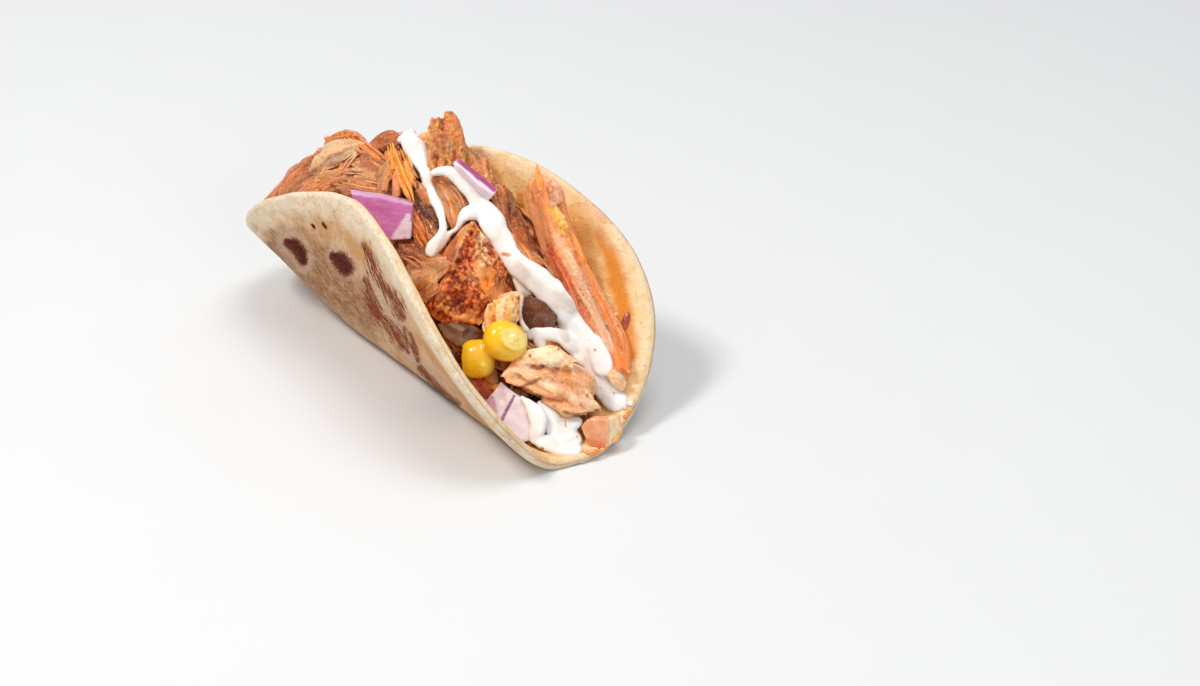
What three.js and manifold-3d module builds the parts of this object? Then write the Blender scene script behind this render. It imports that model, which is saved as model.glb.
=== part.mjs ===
import * as THREE from "three";
import { mergeVertices } from "three/addons/utils/BufferGeometryUtils.js";
import Module from "manifold-3d";

const wasm = await Module();
wasm.setup();

// A soft taco: one round flour tortilla folded round a heap of pulled meat, with larger chunks of
// meat, sweetcorn, red onion, tomato and a thick white sauce on top.
// Millimetres. +X runs along the fold to the open near end, +Y across the fold to the right wall,
// +Z up. Sizes below are measured from the fold's bottom line; the whole is then centred, so that the
// origin is on the floor under the middle of its box.

// ---------------------------------------------------------------- driving sizes

// Tortilla, laid flat: not quite round, its radius swells and shrinks three times by tortillaLobe
const tortillaRadius = 76;
const tortillaLobe = 0.02;
const tortillaThickness = 2.4;

// Fold: a flat strip along the bottom, then a bend of foldRadius into two walls. A wall's angle is
// the one at mid length; lean is what it gains steadily towards the near end, near and far what it
// gains beside that at the two ends, and curl what it gains at the rim.
const foldFlatHalf = 4.5;
const foldRadius = 9;
const leftWall = { angle: 67.8, lean: -12.6, near: -5.1, far: -32, curl: 42 };
const rightWall = { angle: 78.4, lean: -26.6, near: -30.7, far: -8.8, curl: -25 };

// The bottom lies flat from the near end to restFarLength past the middle, then lifts to the far end
const restFarLength = 20;
const liftFar = 14.1;

// Where the middle of the whole lies, from the middle of the fold's bottom line
const middleNear = -1.5;
const middleRight = 6.2;

// Clearance between neighbouring pieces
const gap = 0.35;

// Heap of pulled meat: the height where it meets each wall and how far its crown stands above the
// line between those, at stations along X: [x, height]. Below 1, heapSkew moves the crown to the right.
const heapFarEnd = -71;
const heapNearEnd = 67;
const heapLeftHeight = [[-71, 14], [-58, 32], [-40, 46], [-18, 47], [2, 38], [24, 20], [46, 9], [67, 5]];
const heapRightHeight = [[-71, 15], [-56, 37], [-30, 56], [-5, 58], [15, 50], [35, 34], [52, 15], [67, 4]];
const heapCrown = [[-71, 5], [-54, 11], [-22, 13], [0, 9], [20, 9], [42, 10], [58, 7], [67, 3]];
const heapSkew = 0.62;
const heapLump = 1.3;

const degree = Math.PI / 180;

// ---------------------------------------------------------------- small helpers

const smooth = (t) => t * t * (3 - 2 * t);

// Height at x on a line of [x, height] stations, eased from one to the next
function alongStations(stations, x) {
  const last = stations.length - 1;
  if (x <= stations[0][0]) return stations[0][1];
  if (x >= stations[last][0]) return stations[last][1];
  const i = stations.findIndex(([stationX]) => stationX > x);
  const [x0, h0] = stations[i - 1];
  const [x1, h1] = stations[i];
  const t = (x - x0) / (x1 - x0);
  return THREE.MathUtils.lerp(h0, h1, 0.5 * (t + smooth(t)));
}

// Soft unevenness between about -1 and 1; grain is the number of lumps in one radian of the sines
function unevenness(x, y, z, grain, seed) {
  const a = Math.sin(grain * (1.0 * x + 0.7 * y) + seed * 1.7);
  const b = Math.sin(grain * (0.8 * y - 0.9 * z + 0.3 * x) + seed * 2.9);
  const c = Math.sin(grain * (1.3 * z + 0.6 * x - 0.5 * y) + seed * 4.3);
  return (a + b + c) / 2.2;
}

// Closed mesh through rings of equally many points, capped at both ends round their centres
function loft(rings) {
  const count = rings[0].length;
  const positions = rings.flat().flatMap((p) => [p.x, p.y, p.z]);
  const faces = [];
  for (let r = 0; r + 1 < rings.length; r++) {
    for (let i = 0; i < count; i++) {
      const next = (i + 1) % count;
      const [a, b, c, d] = [r * count + i, r * count + next, (r + 1) * count + next, (r + 1) * count + i];
      faces.push(a, b, c, a, c, d);
    }
  }
  for (const [ring, turn] of [[0, 1], [rings.length - 1, -1]]) {
    const centre = new THREE.Vector3();
    rings[ring].forEach((p) => centre.addScaledVector(p, 1 / count));
    const tip = positions.length / 3;
    positions.push(centre.x, centre.y, centre.z);
    for (let i = 0; i < count; i++) {
      const a = ring * count + i;
      const b = ring * count + ((i + 1) % count);
      faces.push(...(turn > 0 ? [tip, b, a] : [tip, a, b]));
    }
  }
  const geometry = new THREE.BufferGeometry();
  geometry.setAttribute("position", new THREE.Float32BufferAttribute(positions, 3));
  geometry.setIndex(faces);
  return facingOut(geometry);
}

// Turns every face over if the mesh is inside out
function facingOut(geometry) {
  const position = geometry.getAttribute("position");
  const index = geometry.getIndex();
  const [a, b, c] = [new THREE.Vector3(), new THREE.Vector3(), new THREE.Vector3()];
  let volume = 0;
  for (let i = 0; i < index.count; i += 3) {
    a.fromBufferAttribute(position, index.getX(i));
    b.fromBufferAttribute(position, index.getX(i + 1));
    c.fromBufferAttribute(position, index.getX(i + 2));
    volume += a.dot(b.cross(c));
  }
  if (volume < 0) {
    for (let i = 0; i < index.count; i += 3) {
      const second = index.getX(i + 1);
      index.setX(i + 1, index.getX(i + 2));
      index.setX(i + 2, second);
    }
  }
  return geometry;
}

function toSolid(geometry) {
  return new wasm.Manifold(
    new wasm.Mesh({
      numProp: 3,
      vertProperties: Float32Array.from(geometry.getAttribute("position").array),
      triVerts: Uint32Array.from(geometry.getIndex().array),
    }),
  );
}

function toGeometry(solid) {
  const mesh = solid.getMesh();
  const geometry = new THREE.BufferGeometry();
  geometry.setAttribute("position", new THREE.BufferAttribute(mesh.vertProperties, 3));
  geometry.setIndex(new THREE.BufferAttribute(mesh.triVerts, 1));
  return geometry;
}

// The same mesh grown outwards by distance
function grown(geometry, distance) {
  const larger = geometry.clone();
  larger.computeVertexNormals();
  const position = larger.getAttribute("position");
  const normal = larger.getAttribute("normal");
  for (let i = 0; i < position.count; i++) {
    position.setXYZ(
      i,
      position.getX(i) + normal.getX(i) * distance,
      position.getY(i) + normal.getY(i) * distance,
      position.getZ(i) + normal.getZ(i) * distance,
    );
  }
  return larger;
}

// What is left of a solid beside its grown neighbours: the largest piece
function beside(solid, neighbours) {
  const left = neighbours.reduce((rest, neighbour) => rest.subtract(neighbour), solid);
  const pieces = left.decompose();
  return pieces.reduce((best, piece) => (piece.volume() > best.volume() ? piece : best));
}

// ---------------------------------------------------------------- fold of the tortilla

// The cross-section at x: a walk from the fold's middle up both walls. s is the distance from the
// middle along the tortilla, negative on the left wall; side is the distance outside its middle layer.
function foldSection(x, layerGap = 0) {
  const step = 0.5;
  const reach = Math.hypot(tortillaRadius, 10);
  const u = x / tortillaRadius;
  const near = Math.max(u, 0) ** 2;
  const far = Math.max(-u, 0) ** 2;
  const past = Math.max(-x - restFarLength, 0) / (tortillaRadius - restFarLength);
  const lift = liftFar * past ** 2;
  const tangent = (s) => {
    const wall = s < 0 ? leftWall : rightWall;
    const along = Math.max(Math.abs(s) - foldFlatHalf, 0);
    const full = wall.angle + wall.lean * u + wall.near * near + wall.far * far;
    const angle = full * Math.tanh((along / foldRadius) ** 1.5) + wall.curl * (along / tortillaRadius) ** 3;
    return Math.sign(s) * angle * degree;
  };
  const count = Math.ceil(reach / step);
  const walk = { [-1]: [[0, 0]], 1: [[0, 0]] };
  for (const sign of [-1, 1]) {
    for (let i = 0; i < count; i++) {
      const [y, z] = walk[sign][i];
      const angle = tangent(sign * (i + 0.5) * step);
      walk[sign].push([y + sign * Math.cos(angle) * step, z + sign * Math.sin(angle) * step]);
    }
  }
  const floor = tortillaThickness / 2 + lift;
  const point = (s, side) => {
    const line = walk[s < 0 ? -1 : 1];
    const place = Math.min(Math.abs(s) / step, count - 0.001);
    const i = Math.floor(place);
    const t = place - i;
    const y = THREE.MathUtils.lerp(line[i][0], line[i + 1][0], t);
    const z = THREE.MathUtils.lerp(line[i][1], line[i + 1][1], t);
    const angle = tangent(s);
    const out = side + Math.sign(side) * layerGap;
    return new THREE.Vector3(x, y + out * Math.sin(angle), z + floor - out * Math.cos(angle));
  };
  // s on one side where the inner face reaches a height
  const reachHeight = (sign, height) => {
    let s = 0;
    while (s < reach - step && point(sign * s, -tortillaThickness / 2).z < height) s += step;
    return sign * s;
  };
  return { point, reachHeight };
}

// Closed tortilla; layerGap makes it thicker on both faces, for clearing its neighbours
function tortilla(layerGap = 0) {
  const stations = 21;
  const steps = 20;
  const endAngle = 88;
  const half = tortillaThickness / 2;
  const rings = [];
  for (let i = 0; i < stations; i++) {
    const around = THREE.MathUtils.lerp(-endAngle, endAngle, i / (stations - 1)) * degree;
    const radius = tortillaRadius * (1 + tortillaLobe * Math.sin(3 * around)) + layerGap;
    const x = radius * Math.sin(around);
    const edge = radius * Math.cos(around);
    const section = foldSection(x, layerGap);
    const inset = Math.min(0.8, edge * 0.3);
    const outer = [];
    const inner = [];
    for (let j = 0; j <= steps; j++) {
      const v = (2 * j) / steps - 1;
      const s = (edge - inset) * (0.4 * v + 0.6 * v ** 3);
      outer.push(section.point(s, half));
      inner.push(section.point(s, -half));
    }
    const rightEdge = section.point(edge, half).lerp(section.point(edge, -half), 0.5);
    const leftEdge = section.point(-edge, half).lerp(section.point(-edge, -half), 0.5);
    rings.push([...outer, rightEdge, ...inner.reverse(), leftEdge]);
  }
  return loft(rings);
}

// ---------------------------------------------------------------- heap of pulled meat

function meatHeap() {
  const stations = 25;
  const bottomSteps = 9;
  const topSteps = 9;
  const rings = [];
  for (let i = 0; i < stations; i++) {
    const x = THREE.MathUtils.lerp(heapFarEnd, heapNearEnd, i / (stations - 1));
    const section = foldSection(x, 2 * gap);
    const sLeft = section.reachHeight(-1, alongStations(heapLeftHeight, x));
    const sRight = section.reachHeight(1, alongStations(heapRightHeight, x));
    const crown = alongStations(heapCrown, x);
    const ring = [];
    for (let j = 0; j <= bottomSteps; j++) {
      const s = THREE.MathUtils.lerp(sLeft, sRight, j / bottomSteps);
      ring.push(section.point(s, -tortillaThickness / 2));
    }
    const left = ring[0];
    const right = ring[bottomSteps];
    for (let j = 1; j < topSteps; j++) {
      const t = j / topSteps;
      const p = right.clone().lerp(left, t);
      const arch = Math.sin(Math.PI * t ** heapSkew) ** 0.8;
      p.z += arch * (crown + heapLump * unevenness(p.x, p.y, 0, 0.42, 3));
      ring.push(p);
    }
    rings.push(ring);
  }
  return loft(rings);
}

// ---------------------------------------------------------------- pieces on the heap

function placed(geometry, at, turn) {
  const angles = turn.map((angle) => angle * degree);
  geometry.applyMatrix4(new THREE.Matrix4().makeRotationFromEuler(new THREE.Euler(...angles, "ZYX")));
  geometry.translate(...at);
  return geometry;
}

// Uneven lump with half sizes half. power 2 is round and larger is boxier; taper narrows its top;
// rough is the unevenness as a share of its size.
function lump({ at, half, turn = [0, 0, 0], power = 2.4, taper = 0, rough = 0.1, seed = 1, detail = 2 }) {
  const grain = 2.6;
  const ball = new THREE.IcosahedronGeometry(1, detail);
  ball.deleteAttribute("normal");
  ball.deleteAttribute("uv");
  const geometry = mergeVertices(ball, 1e-4);
  const position = geometry.getAttribute("position");
  const d = new THREE.Vector3();
  for (let i = 0; i < position.count; i++) {
    d.fromBufferAttribute(position, i);
    const sum = Math.abs(d.x) ** power + Math.abs(d.y) ** power + Math.abs(d.z) ** power;
    const r = sum ** (-1 / power) * (1 + rough * unevenness(d.x, d.y, d.z, grain, seed));
    const narrow = 1 - taper * d.z * r;
    position.setXYZ(i, d.x * r * half[0] * narrow, d.y * r * half[1] * narrow, d.z * r * half[2]);
  }
  return placed(facingOut(geometry), at, turn);
}

// Onion layers cut to a block: a slab of size [length, width, thickness] bent round an axis along
// its length, with its far edge narrower by taper
function onionPiece({ at, size, turn, bend = 28, taper = 0 }) {
  const [length, width, thickness] = size;
  const radius = width / (bend * degree);
  const geometry = new THREE.BoxGeometry(length, width, thickness, 2, 4, 1);
  geometry.deleteAttribute("normal");
  geometry.deleteAttribute("uv");
  const slab = mergeVertices(geometry, 1e-4);
  const position = slab.getAttribute("position");
  for (let i = 0; i < position.count; i++) {
    const across = position.getY(i) / width;
    const narrow = 1 - taper * (across + 0.5);
    const angle = across * bend * degree;
    const r = radius + position.getZ(i);
    position.setXYZ(i, position.getX(i) * narrow, r * Math.sin(angle), r * Math.cos(angle) - radius);
  }
  return placed(facingOut(slab), at, turn);
}

// A strand along points, each [x, y, z, half width, half depth], with its broad face turned to face
function strand({ points, face, steps, sides = 7, seed = 0, rough = 0 }) {
  const line = new THREE.CatmullRomCurve3(points.map(([x, y, z]) => new THREE.Vector3(x, y, z)));
  const rings = [];
  for (let i = 0; i <= steps; i++) {
    const t = i / steps;
    const centre = line.getPoint(t);
    const along = line.getTangent(t);
    const broad = new THREE.Vector3(...face);
    const up = broad.addScaledVector(along, -along.dot(broad)).normalize();
    const across = new THREE.Vector3().crossVectors(along, up);
    const place = t * (points.length - 1);
    const k = Math.min(Math.floor(place), points.length - 2);
    const halfWidth = THREE.MathUtils.lerp(points[k][3], points[k + 1][3], place - k);
    const halfDepth = THREE.MathUtils.lerp(points[k][4], points[k + 1][4], place - k);
    const ring = [];
    for (let j = 0; j < sides; j++) {
      const angle = (2 * Math.PI * j) / sides;
      const swell = 1 + rough * unevenness(centre.x, centre.y, centre.z + 3 * angle, 0.5, seed);
      ring.push(
        centre
          .clone()
          .addScaledVector(across, Math.cos(angle) * halfWidth * swell)
          .addScaledVector(up, Math.sin(angle) * halfDepth * swell),
      );
    }
    rings.push(ring);
  }
  return loft(rings);
}

// Thick white sauce: a short run down the far peak, a long run down to the near end with a lobe
// and a finger beside it, and a pool at the near end
const sauceFace = [0.5, -0.4, 0.77];

function sauceRuns() {
  const shortRun = strand({
    points: [[-19, 7, 69, 2.6, 1.5], [-13, 5, 67, 3.6, 1.8], [-7, 4, 63, 3, 1.7], [-1, 2, 57, 1.8, 1.4],
      [6, -2, 54, 1.8, 1.3], [10, -8, 46.5, 1.8, 1.2]],
    face: sauceFace,
    steps: 10,
  });
  const longRun = strand({
    points: [[-8, 5, 63.5, 1.6, 1.2], [-1, 10, 63, 2.4, 1.5], [7, 12, 60, 3, 1.6], [14, 11, 56.5, 3.2, 1.6],
      [20, 12, 52, 2.6, 1.5], [27, 12, 45.5, 3.2, 1.7], [36, 13, 38.5, 5, 1.8], [50, 18.5, 27, 3.6, 1.8],
      [58, 19, 18.5, 3.2, 1.8], [68, 19, 10, 2.8, 1.6]],
    face: sauceFace,
    steps: 17,
  });
  const lobe = lump({ at: [10, 8, 56], half: [3.6, 3, 2.4], rough: 0, detail: 1 });
  const finger = strand({
    points: [[37, 10, 36, 2, 1.5], [40, 4.5, 31.5, 2.4, 1.5], [45, 6, 28.5, 2.6, 1.5], [51, 13, 25.5, 2, 1.5]],
    face: sauceFace,
    steps: 7,
  });
  const joined = [longRun, lobe, finger].reduce((sum, piece) => sum.add(toSolid(piece)), toSolid(shortRun));
  return toGeometry(joined);
}

const saucePool = () => lump({ at: [63.5, 0, 6.8], half: [9, 7, 3.2], turn: [0, 6, 25], rough: 0.16, seed: 7 });

// Every piece but the tortilla and the heap, in the order in which one gives way to those before it
const onHeap = [
  { name: "sauce_runs", colour: 0xf1edea, roughness: 0.35, shape: sauceRuns() },
  { name: "sauce_pool", colour: 0xf1edea, roughness: 0.35, shape: saucePool() },
  {
    name: "corn_kernel_round",
    colour: 0xf2c02a,
    roughness: 0.35,
    shape: lump({ at: [43, -5, 28.5], half: [5.8, 4.4, 6.2], turn: [0, 0, 52], rough: 0.03 }),
  },
  {
    name: "corn_kernel_cut",
    colour: 0xf0bb20,
    roughness: 0.35,
    shape: lump({ at: [37.5, -12, 21.5], half: [4.6, 3.6, 5.6], turn: [0, 0, 52], rough: 0.03 }),
  },
  {
    name: "onion_magenta",
    colour: 0xb9799f,
    roughness: 0.4,
    shape: onionPiece({ at: [-4.5, -13.5, 52], size: [17, 13, 4.2], turn: [64, 4, 44], taper: 0.12 }),
  },
  {
    name: "onion_pink",
    colour: 0xb9799f,
    roughness: 0.4,
    shape: onionPiece({ at: [8.5, 13.5, 59.5], size: [17, 8, 3.2], turn: [62, 32, 52] }),
  },
  {
    name: "onion_pale",
    colour: 0xdcc3d3,
    roughness: 0.4,
    shape: onionPiece({ at: [51, -9, 10.5], size: [15, 14, 5.5], turn: [28, 24, 60], taper: 0.2 }),
  },
  {
    name: "tomato_cube",
    colour: 0xd98868,
    roughness: 0.35,
    shape: lump({ at: [68.5, 9, 7.5], half: [5, 5.2, 4.4], turn: [10, 8, 35], power: 5, rough: 0.05 }),
  },
  {
    name: "tomato_piece",
    colour: 0xc9694a,
    roughness: 0.35,
    shape: lump({ at: [38.5, -9.5, 12.8], half: [5, 4.4, 3.6], turn: [14, 10, 40], power: 3.4, rough: 0.1 }),
  },
  {
    name: "brown_slice",
    colour: 0x8d7560,
    roughness: 0.5,
    shape: lump({ at: [28, -11, 25], half: [8, 4.8, 1.9], turn: [42, 14, 48], power: 3, rough: 0.06 }),
  },
  {
    name: "chunk_crusted",
    colour: 0x9c4f2a,
    roughness: 0.6,
    shape: lump({
      at: [20.5, -1, 38],
      half: [11, 10.5, 17],
      turn: [-6, -14, 35],
      power: 2.2,
      taper: 0.5,
      rough: 0.08,
      seed: 2,
    }),
  },
  {
    name: "chunk_cream",
    colour: 0xcfa478,
    roughness: 0.6,
    shape: lump({ at: [35, 0.5, 33], half: [6.2, 5.2, 6], turn: [0, 10, 40], rough: 0.12, seed: 5 }),
  },
  {
    name: "chunk_low",
    colour: 0xb98555,
    roughness: 0.6,
    shape: lump({ at: [54.5, 5, 17.5], half: [15, 8, 7.5], turn: [10, 8, 50], rough: 0.12, seed: 4 }),
  },
  {
    name: "chunk_peak",
    colour: 0xa8683c,
    roughness: 0.6,
    shape: lump({
      at: [-10, 13, 68],
      half: [7.5, 6, 13.5],
      turn: [0, -10, 50],
      taper: 0.25,
      rough: 0.12,
      seed: 6,
    }),
  },
  {
    name: "chunk_far",
    colour: 0xb58a68,
    roughness: 0.6,
    shape: lump({ at: [-49, -1, 54.5], half: [11, 8, 7], turn: [0, -12, 40], rough: 0.12, seed: 8 }),
  },
  {
    name: "strip_long",
    colour: 0xb9623a,
    roughness: 0.55,
    shape: strand({
      points: [[20.5, 24, 67.5, 3.4, 2], [26, 25, 58, 6, 2.8], [35, 26, 44, 6.4, 3], [47, 26.5, 29, 5.6, 3],
        [58, 25, 17.5, 4.4, 2.8], [67, 21.5, 9.5, 2.4, 2]],
      face: [0.35, -0.8, 0.5],
      steps: 14,
      rough: 0.12,
      seed: 9,
    }),
  },
];

// ---------------------------------------------------------------- assembly

const taco = new THREE.Group();
taco.position.set(-middleNear, -middleRight, 0);

function addPart(name, geometry, colour, roughness) {
  const material = new THREE.MeshStandardMaterial({ color: colour, roughness, metalness: 0 });
  const mesh = new THREE.Mesh(geometry, material);
  mesh.name = name;
  taco.add(mesh);
}

addPart("tortilla", tortilla(), 0xe6d3b4, 0.8);
const clearances = [toSolid(tortilla(gap))];
for (const piece of onHeap) {
  const solid = beside(toSolid(piece.shape), clearances);
  addPart(piece.name, toGeometry(solid), piece.colour, piece.roughness);
  clearances.push(toSolid(grown(piece.shape, gap)));
}
addPart("pulled_meat", toGeometry(beside(toSolid(meatHeap()), clearances.slice(1))), 0xa8714a, 0.65);

export default taco;
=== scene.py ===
"""The looks of the soft taco. Pieces are modelled in mm in the frame of the fold and placed in metres."""

import math

import bmesh
import bpy
import numpy as np
from mathutils import Matrix, Vector
from mathutils.bvhtree import BVHTree
from mathutils.kdtree import KDTree


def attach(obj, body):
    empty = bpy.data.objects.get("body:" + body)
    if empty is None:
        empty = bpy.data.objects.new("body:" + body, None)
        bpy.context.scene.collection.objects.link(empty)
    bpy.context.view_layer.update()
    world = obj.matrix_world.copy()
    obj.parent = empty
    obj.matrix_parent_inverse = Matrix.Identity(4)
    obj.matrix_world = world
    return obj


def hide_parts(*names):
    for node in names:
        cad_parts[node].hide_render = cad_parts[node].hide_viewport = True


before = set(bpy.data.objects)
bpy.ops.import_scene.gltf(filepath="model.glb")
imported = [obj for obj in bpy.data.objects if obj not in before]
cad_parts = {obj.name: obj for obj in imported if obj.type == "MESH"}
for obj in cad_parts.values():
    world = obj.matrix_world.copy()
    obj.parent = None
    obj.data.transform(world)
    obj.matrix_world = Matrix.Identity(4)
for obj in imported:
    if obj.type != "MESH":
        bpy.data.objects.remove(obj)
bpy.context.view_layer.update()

# ---------------------------------------------------------------- sizes, mm
# the origin of the part, from the middle of the fold's bottom line
ORIGIN = np.array([-1.5, 6.2, 0.0])
# the disc before it is folded, its threefold waviness and the place in degrees where its rim is trimmed
DISC_R, DISC_LOBE = 76.0, 0.02
NEAR_TRIM, NEAR_TRIM_AT, NEAR_TRIM_WIDE = 2.0, 351, 8
SHEET = 2.4
EDGE_ROUND = 1.3
# half of the flat strip that it stands on, and how soon the walls turn up from it
FLAT_HALF = 4.5
BEND_R = 9.0
# wall angles in degrees: at mid length, then what they gain steadily to the near end, at the near end,
# at the far end and at the rim
LEFT = (67.8, -12.6, -5.1, -32.0, 42.0)
RIGHT = (78.4, -26.6, -30.7, -8.8, -25.0)
# how far behind the middle the fold leaves the floor, and how high it gets at the far end
REST_FAR = 20.0
LIFT_FAR = 14.1

# ---------------------------------------------------------------- camera
IMAGE_W, IMAGE_H = 1200, 686
CAM_AZ, CAM_EL, CAM_ROLL = 48.764, 31.726, 2.008
CAM_FAR = 700.0
CAM_LENS = 66.715
CAM_AIM = np.array([42.70, 33.256, 14.719])

az, el, roll = (math.radians(v) for v in (CAM_AZ, CAM_EL, CAM_ROLL))
BACK = np.array([math.sin(az) * math.cos(el), -math.cos(az) * math.cos(el), math.sin(el)])
level = np.array([math.cos(az), math.sin(az), 0.0])
rise = np.cross(BACK, level)
RIGHTWARD = level * math.cos(roll) + rise * math.sin(roll)
UPWARD = rise * math.cos(roll) - level * math.sin(roll)
EYE = CAM_AIM + BACK * CAM_FAR
FOCAL = CAM_LENS / 36.0 * IMAGE_W


def ray(px, py):
    """The way from the eye through a pixel of the picture."""
    d = -BACK * FOCAL + RIGHTWARD * (px - IMAGE_W / 2) - UPWARD * (py - IMAGE_H / 2)
    return d / np.linalg.norm(d)


def project(p):
    """The pixels of the picture where points show."""
    q = np.asarray(p) - EYE
    z = -(q @ BACK)
    return np.stack([IMAGE_W / 2 + FOCAL * (q @ RIGHTWARD) / z, IMAGE_H / 2 - FOCAL * (q @ UPWARD) / z], -1)


def place(px, py, ref, toward=0.0):
    """The point of a pixel's ray that is as far from the eye as ref, less toward mm."""
    d = ray(px, py)
    t = ((np.asarray(ref) - EYE) @ BACK + toward) / (d @ BACK)
    return EYE + d * t


def build_camera():
    """The camera that the picture was taken with."""
    data = bpy.data.cameras.new("camera")
    data.lens, data.sensor_width = CAM_LENS, 36.0
    data.clip_start, data.clip_end = 0.01, 50.0
    cam = bpy.data.objects.new("camera", data)
    bpy.context.scene.collection.objects.link(cam)
    m = Matrix.Identity(4)
    at = (EYE - ORIGIN) / 1000.0
    for i in range(3):
        m[i][0], m[i][1], m[i][2], m[i][3] = RIGHTWARD[i], UPWARD[i], BACK[i], at[i]
    cam.matrix_world = m
    bpy.context.scene.camera = cam


# ---------------------------------------------------------------- noise
VALUES = np.random.default_rng(5).uniform(-1, 1, 8192)


def lattice(i, j, k):
    """A repeatable value from -1 to 1 for each whole-number place."""
    h = (i * 374761393 + j * 668265263 + k * 1442695041) & 0xFFFFFFFF
    h = ((h ^ (h >> 13)) * 1274126177) & 0xFFFFFFFF
    return VALUES[(h ^ (h >> 16)) & 8191]


def noise(p, size=1.0, seed=0):
    """Smooth noise from -1 to 1 with features of the given size."""
    p = np.asarray(p, float) / size + seed * 17.31
    i = np.floor(p).astype(np.int64)
    f = p - i
    f = f * f * f * (f * (f * 6 - 15) + 10)
    out = 0.0
    for a in (0, 1):
        wa = f[..., 0] if a else 1 - f[..., 0]
        for b in (0, 1):
            wb = f[..., 1] if b else 1 - f[..., 1]
            for c in (0, 1):
                wc = f[..., 2] if c else 1 - f[..., 2]
                out = out + wa * wb * wc * lattice(i[..., 0] + a, i[..., 1] + b, i[..., 2] + c)
    return out


def layered(p, size, seed=0, octaves=3):
    """Noise of several sizes, each half as large and half as strong as the one before."""
    total, amp, norm = 0.0, 1.0, 0.0
    for o in range(octaves):
        total = total + amp * noise(p, size / 2 ** o, seed + o * 3)
        norm += amp
        amp *= 0.5
    return total / norm


def cells(p, size, seed=0):
    """Distance to the nearest of one jittered point per cell, in cell sizes."""
    p = np.asarray(p, float) / size + seed * 7.7
    i = np.floor(p).astype(np.int64)
    best = np.full(p.shape[:-1], 9.0)
    for a in (-1, 0, 1):
        for b in (-1, 0, 1):
            for c in (-1, 0, 1):
                j = i + (a, b, c)
                spot = np.stack([lattice(j[..., 0], j[..., 1], j[..., 2] + 99 * n) for n in (1, 2, 3)], -1)
                d = np.linalg.norm(j + 0.5 + 0.45 * spot - p, axis=-1)
                best = np.minimum(best, d)
    return best


def smooth(t, lo=0.0, hi=1.0):
    t = np.clip((np.asarray(t, float) - lo) / (hi - lo), 0, 1)
    return t * t * (3 - 2 * t)


def unit(v):
    v = np.asarray(v, float)
    return v / np.maximum(np.linalg.norm(v, axis=-1, keepdims=True), 1e-9)


def rgb(r, g, b):
    """A colour as seen on a screen, 0 to 255, as linear light."""
    c = np.array([r, g, b]) / 255.0
    return np.where(c <= 0.04045, c / 12.92, ((c + 0.055) / 1.055) ** 2.4)


def stroke(pixels, lines):
    """How far each pixel is inside a set of brush strokes: 1 on a line, 0 at its radius, negative outside.
    A stroke is a list of (x, y, radius) in pixels of the picture."""
    best = np.full(len(pixels), -9.0)
    for line in lines:
        pts = np.array(line, float)
        if len(pts) == 1:
            best = np.maximum(best, 1 - np.linalg.norm(pixels - pts[0, :2], axis=1) / pts[0, 2])
        for a, b in zip(pts[:-1], pts[1:]):
            ab = b[:2] - a[:2]
            t = np.clip(((pixels - a[:2]) @ ab) / max(ab @ ab, 1e-9), 0, 1)
            near = a[:2] + t[:, None] * ab
            r = a[2] + t * (b[2] - a[2])
            best = np.maximum(best, 1 - np.linalg.norm(pixels - near, axis=1) / r)
    return best


# ---------------------------------------------------------------- meshes
# painted shade: how much of its colour meat keeps in the grooves between fibres
GROOVE_SHADE = (0.80, 0.60, 0.45)


def spline(points, count):
    """A smooth curve through points, evenly spaced along its length."""
    p = np.asarray(points, float)
    if len(p) == 2:
        return p[0] + np.linspace(0, 1, count)[:, None] * (p[1] - p[0])
    ext = np.vstack([2 * p[0] - p[1], p, 2 * p[-1] - p[-2]])
    fine = []
    for k in range(len(p) - 1):
        a, b, c, d = ext[k:k + 4]
        t = np.linspace(0, 1, 24, endpoint=False)[:, None]
        fine.append(0.5 * (2 * b + (c - a) * t + (2 * a - 5 * b + 4 * c - d) * t ** 2
                           + (3 * b - a - 3 * c + d) * t ** 3))
    fine = np.vstack(fine + [p[-1:]])
    run = np.concatenate([[0], np.cumsum(np.linalg.norm(np.diff(fine[:, :3], axis=0), axis=1))])
    want = np.linspace(0, run[-1], count)
    return np.stack([np.interp(want, run, fine[:, n]) for n in range(p.shape[1])], 1)


def grid_faces(rows, cols, base=0):
    """Four-sided faces between rings of points."""
    r = np.arange(rows - 1)[:, None]
    c = np.arange(cols)[None, :]
    n = (c + 1) % cols
    return np.stack([r * cols + c, r * cols + n, (r + 1) * cols + n, (r + 1) * cols + c],
                    -1).reshape(-1, 4) + base


def end_faces(rows, around):
    """Fans from the first and the last ring to the two points that follow all rings."""
    k = np.arange(around)
    nxt = (k + 1) % around
    last, tip = (rows - 1) * around, rows * around
    return np.vstack([np.stack([nxt, k, np.full(around, tip)], 1),
                      np.stack([last + k, last + nxt, np.full(around, tip + 1)], 1)])


class Soup:
    """Points, four- and three-sided faces, and values at points, gathered from many parts."""

    def __init__(self):
        self.v, self.f4, self.f3, self.tint, self.grain, self.n = [], [], [], [], [], 0

    def add(self, part):
        v, f4, f3, tint, grain = part
        self.v.append(v)
        self.f4.append(f4 + self.n)
        self.f3.append(f3 + self.n)
        self.tint.append(tint)
        self.grain.append(grain)
        self.n += len(v)

    def done(self):
        return (np.vstack(self.v), np.vstack(self.f4), np.vstack(self.f3), np.vstack(self.tint),
                np.vstack(self.grain))


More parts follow.
